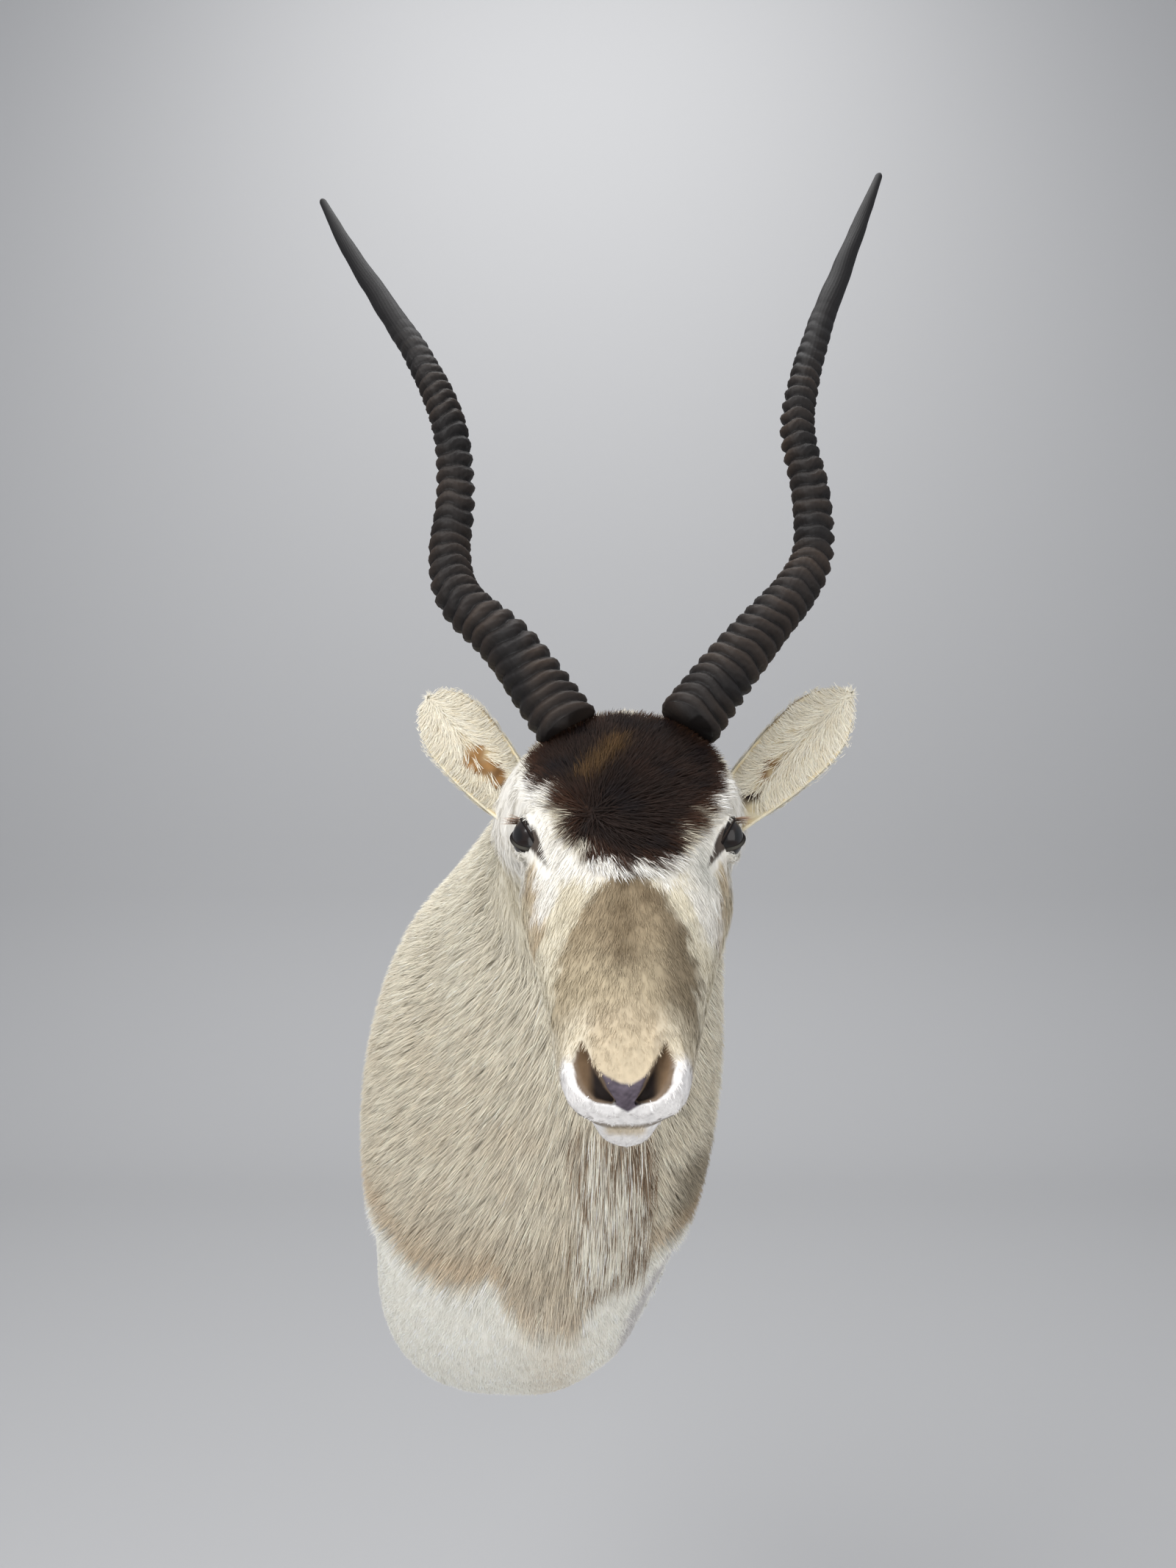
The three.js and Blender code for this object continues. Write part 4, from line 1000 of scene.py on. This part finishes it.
# Points on the middle line of each horn, from inside the skull to the tip, and the radius at
# even steps along it.
HORN_LINES = {
    "right": np.array([
        [42, -520, 440], [3, -490, 494], [-37, -455, 535], [-48, -430, 575], [-46, -408, 629],
        [-55, -380, 694], [-83, -338, 760], [-126, -288, 833], [-166, -243, 901],
        [-199, -201, 965]], float),
    "left": np.array([
        [143, -520, 443], [173, -495, 481], [201, -468, 513], [228, -443, 544], [245, -423, 577],
        [247, -402, 629], [241, -374, 689], [252, -346, 743], [272, -313, 803], [298, -276, 866],
        [350, -202, 990]], float),
}
HORN_RADIUS = np.array([22.4, 20, 17.2, 15.2, 14, 13, 11.9, 10.6, 8.8, 6.4, 3.4])[:, None]
HORN_ROWS, HORN_SIDES = 760, 64
HORN_START = -14
# Length from ring to ring, how high the ring stands, and how deep the groove between lies.
RING_PITCH, RING_HIGH, RING_DEEP = 13.2, 1.9, 4.4
HORN_BROWN, HORN_LIGHT = linear(24, 21, 20), linear(46, 37, 31)
HORN_TIP, HORN_GROOVE_SHADE, HORN_WORN = linear(14, 12, 12), linear(11, 9, 9), linear(76, 62, 50)


def horn_surface(line, seed):
    """A tapering round carried along the horn's line. Between the rings lie grooves as deep
    as 1 less the size of a sine of the length run, tilted a little, that fade to the tip."""
    rows_of = HORN_LINES[line]
    fine = through_rows(rows_of, np.linspace(0, len(rows_of) - 1, 2000))
    run = np.concatenate([[0], np.cumsum(np.linalg.norm(np.diff(fine, axis=0), axis=1))])
    total = run[-1]
    length = np.linspace(HORN_START, total, HORN_ROWS)
    centre = np.stack([np.interp(length, run, fine[:, c]) for c in range(3)], 1)
    centre += np.minimum(length, 0)[:, None] * unit(fine[8] - fine[0])
    axis = unit(np.gradient(centre, axis=0))
    front = unit(np.array([0, -1.0, 0]) + axis * axis[:, 1:2])
    aside = np.cross(axis, front)
    share = np.clip(length / total, 0, 1)
    radius = through_rows(HORN_RADIUS, share * (len(HORN_RADIUS) - 1))
    around = np.linspace(0, 2 * np.pi, HORN_SIDES, endpoint=False)
    s, a = np.meshgrid(length, around, indexing="ij")
    f = np.clip(s / total, 0, 1)
    shift = np.random.default_rng(seed).uniform(0, 6.28, 4)
    tilt = (2.4 + 1.8 * np.sin(s / 47 + shift[0])) * np.cos(a - 0.6 * np.sin(s / 90 + shift[1]))
    wander = 1.5 * np.sin(2 * a + s / 31 + shift[2]) + 1.0 * np.sin(3 * a - s / 23 + shift[3])
    wander += 0.6 * np.sin(5 * a + s / 13 + shift[0])
    ringed = s + tilt + wander
    crowded = 0.12 * np.sin(ringed / 29) + 0.5 * (1 - np.exp(-(s - HORN_START) / 40))
    turns = 2 * np.pi * (ringed / RING_PITCH + crowded)
    groove = 1 - np.abs(np.sin(turns / 2))**1.1
    fade = (1 - smooth(f, 0.46, 0.72)) * (0.85 + 0.15 * np.sin(s / 37 + a + shift[2]))
    grain = 0.22 * np.sin(a * 23 + 2.2 * np.sin(s / 17)) * (1 - smooth(f, 0.9, 1))
    lumps = 0.3 * np.sin(s / 9.7 + 2.5 * np.sin(a + s / 60)) * (1 - fade) * (1 - smooth(f, 0.8, 1))
    creases = 0.2 * np.sin(3 * turns + 4 * np.sin(3 * a + s / 19))
    r = radius + fade * (RING_HIGH - RING_DEEP * groove + creases) + grain + lumps
    r = r * np.sqrt(1 - smooth(f, 0.991, 1.004)**2 * 0.96)
    p = centre[:, None] + r[..., None] * (np.cos(a)[..., None] * front[:, None]
                                          + np.sin(a)[..., None] * aside[:, None])
    tone = waves(p, 60, seed)
    lighter = np.clip(0.4 + 0.5 * tone, 0, 1) * (1 - smooth(f, 0.35, 0.75))
    colour = blend(HORN_BROWN, HORN_LIGHT, lighter)
    colour = blend(colour, HORN_TIP, smooth(f, 0.45, 0.8))
    # Painted shade in the grooves between the rings.
    colour = blend(colour, HORN_GROOVE_SHADE, fade * smooth(groove, 0.35, 0.9) * 0.85)
    worn = fade * (1 - smooth(groove, 0.0, 0.16)) * np.clip(0.3 + 0.6 * tone, 0, 1)
    return p, blend(colour, HORN_WORN, worn * 0.4)


def horn_material():
    """Dark horn with a satin face and fine fibres along it."""
    made = bpy.data.materials.new("horn")
    made.use_nodes = True
    nodes, links = made.node_tree.nodes, made.node_tree.links
    shader = nodes["Principled BSDF"]
    shader.inputs["Roughness"].default_value = 0.58
    shader.inputs["Specular IOR Level"].default_value = 0.22
    tint = nodes.new("ShaderNodeVertexColor")
    tint.layer_name = "coat"
    place = nodes.new("ShaderNodeTexCoord")
    fibre = nodes.new("ShaderNodeTexNoise")
    fibre.inputs["Scale"].default_value = 420.0
    fibre.inputs["Detail"].default_value = 4.0
    relief = nodes.new("ShaderNodeBump")
    relief.inputs["Strength"].default_value = 0.35
    relief.inputs["Distance"].default_value = 0.0006
    links.new(place.outputs["Object"], fibre.inputs["Vector"])
    links.new(fibre.outputs["Fac"], relief.inputs["Height"])
    links.new(relief.outputs["Normal"], shader.inputs["Normal"])
    links.new(tint.outputs["Color"], shader.inputs["Base Color"])
    return made


horn_look = horn_material()
for line, seed in (("right", 3), ("left", 4)):
    p, colour = horn_surface(line, seed)
    ends = np.stack([p[0].mean(0), p[-1].mean(0)])
    horn = closed_tube("horn_" + line + "_grown", p, ends, colour, colour[[0, -1], 0])
    horn.data.materials.append(horn_look)
    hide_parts("horn_" + line)
    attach(horn, "root")

# The backboard and its hanger: a sawn softwood board let into the back of the form, and a
# zinc-plated steel plate in a pocket, held by two round-headed screws.
WOOD_DARK, WOOD_LIGHT = linear(150, 112, 68), linear(205, 170, 118)
wood = bpy.data.materials.new("board_wood")
wood.use_nodes = True
nodes, links = wood.node_tree.nodes, wood.node_tree.links
shader = nodes["Principled BSDF"]
shader.inputs["Roughness"].default_value = 0.7
place = nodes.new("ShaderNodeTexCoord")
stretch = nodes.new("ShaderNodeMapping")
stretch.inputs["Scale"].default_value = (60, 60, 4)
grain = nodes.new("ShaderNodeTexNoise")
grain.inputs["Scale"].default_value = 1.0
grain.inputs["Detail"].default_value = 6.0
grain.inputs["Distortion"].default_value = 0.6
ramp = nodes.new("ShaderNodeValToRGB")
ramp.color_ramp.elements[0].position = 0.35
ramp.color_ramp.elements[0].color = (*WOOD_DARK, 1)
ramp.color_ramp.elements[1].position = 0.68
ramp.color_ramp.elements[1].color = (*WOOD_LIGHT, 1)
links.new(place.outputs["Object"], stretch.inputs["Vector"])
links.new(stretch.outputs["Vector"], grain.inputs["Vector"])
links.new(grain.outputs["Fac"], ramp.inputs["Fac"])
links.new(ramp.outputs["Color"], shader.inputs["Base Color"])
steel = bpy.data.materials.new("hanger_steel")
steel.use_nodes = True
nodes, links = steel.node_tree.nodes, steel.node_tree.links
shader = nodes["Principled BSDF"]
shader.inputs["Metallic"].default_value = 1.0
shader.inputs["Roughness"].default_value = 0.34
place = nodes.new("ShaderNodeTexCoord")
spangle = nodes.new("ShaderNodeTexNoise")
spangle.inputs["Scale"].default_value = 240.0
ramp = nodes.new("ShaderNodeValToRGB")
ramp.color_ramp.elements[0].color = (0.42, 0.43, 0.45, 1)
ramp.color_ramp.elements[1].color = (0.66, 0.67, 0.68, 1)
links.new(place.outputs["Object"], spangle.inputs["Vector"])
links.new(spangle.outputs["Fac"], ramp.inputs["Fac"])
links.new(ramp.outputs["Color"], shader.inputs["Base Color"])
for node, look, words in (("backboard", wood, "board"), ("hanger", steel, "hanger_steel"),
                          ("hanger_screw_1", steel, "hanger_steel"),
                          ("hanger_screw_2", steel, "hanger_steel")):
    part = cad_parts[node]
    part.data.materials.clear()
    part.data.materials.append(look)

# The studio: a pale sweep that is a floor in front and a backdrop far behind, soft square
# lights, and a camera level with the forehead, 1.45 m from the wall.
SWEEP_STEPS, SWEEP_WIDE, SWEEP_BEND = 60, 12, 900
run = np.linspace(0, 1, SWEEP_STEPS)
bend = np.clip((run - 0.5) / 0.2, 0, 1) * np.pi / 2
profile_y = np.interp(run, [0, 0.5], [-5000, 2600]) + SWEEP_BEND * np.sin(bend)
profile_z = -SWEEP_BEND * np.cos(bend) + np.interp(run, [0.7, 1], [0, 4200])
side = np.linspace(-6000, 6000, SWEEP_WIDE)
sweep = np.broadcast_arrays(side[None, :], profile_y[:, None], profile_z[:, None])
sweep = np.stack(sweep, -1).reshape(-1, 3)
floor = put_mesh("studio_sweep", sweep, grid_faces(SWEEP_STEPS, SWEEP_WIDE, False),
                 linear(196, 195, 196) + 0 * sweep, spread_grid(SWEEP_STEPS, SWEEP_WIDE))
paper = bpy.data.materials.new("studio_paper")
paper.use_nodes = True
paper.node_tree.nodes["Principled BSDF"].inputs["Base Color"].default_value = (0.45, 0.45, 0.452, 1)
paper.node_tree.nodes["Principled BSDF"].inputs["Roughness"].default_value = 0.9
floor.data.materials.append(paper)


def soft_light(name, place, towards, size, power):
    """A square soft light at a place, turned towards a point."""
    lamp = bpy.data.lights.new(name, "AREA")
    lamp.size = size
    lamp.energy = power
    holder = bpy.data.objects.new(name, lamp)
    aim = unit(np.array(towards) - np.array(place))
    holder.location = place
    holder.rotation_euler = (np.arccos(-aim[2]), 0, np.arctan2(aim[1], aim[0]) - np.pi / 2)
    scene.collection.objects.link(holder)


soft_light("key", (-1.3, -1.9, 2.3), (0.08, -0.3, 0.3), 1.6, 62)
soft_light("fill", (2.1, -1.9, 0.9), (0.08, -0.3, 0.2), 1.8, 15)
soft_light("top", (0.2, -0.5, 2.8), (0.08, -0.3, 0.3), 1.6, 22)
soft_light("low", (-0.3, -2.4, -0.35), (0.05, -0.3, 0.0), 1.8, 24)
soft_light("backdrop_wash", (0, 1.4, 3.4), (0, 3.4, 0.2), 2.6, 70)
world = bpy.data.worlds.new("studio")
world.use_nodes = True
world.node_tree.nodes["Background"].inputs["Color"].default_value = (0.9, 0.93, 1.0, 1)
world.node_tree.nodes["Background"].inputs["Strength"].default_value = 0.5
scene.world = world
scene.view_settings.view_transform = "Standard"

lens = bpy.data.cameras.new("camera")
lens.lens = 29.1
lens.sensor_width = 36
camera = bpy.data.objects.new("camera", lens)
camera.location = (0.063, -1.450, 0.390)
camera.rotation_euler = (np.pi / 2, 0, 0)
scene.collection.objects.link(camera)
scene.camera = camera
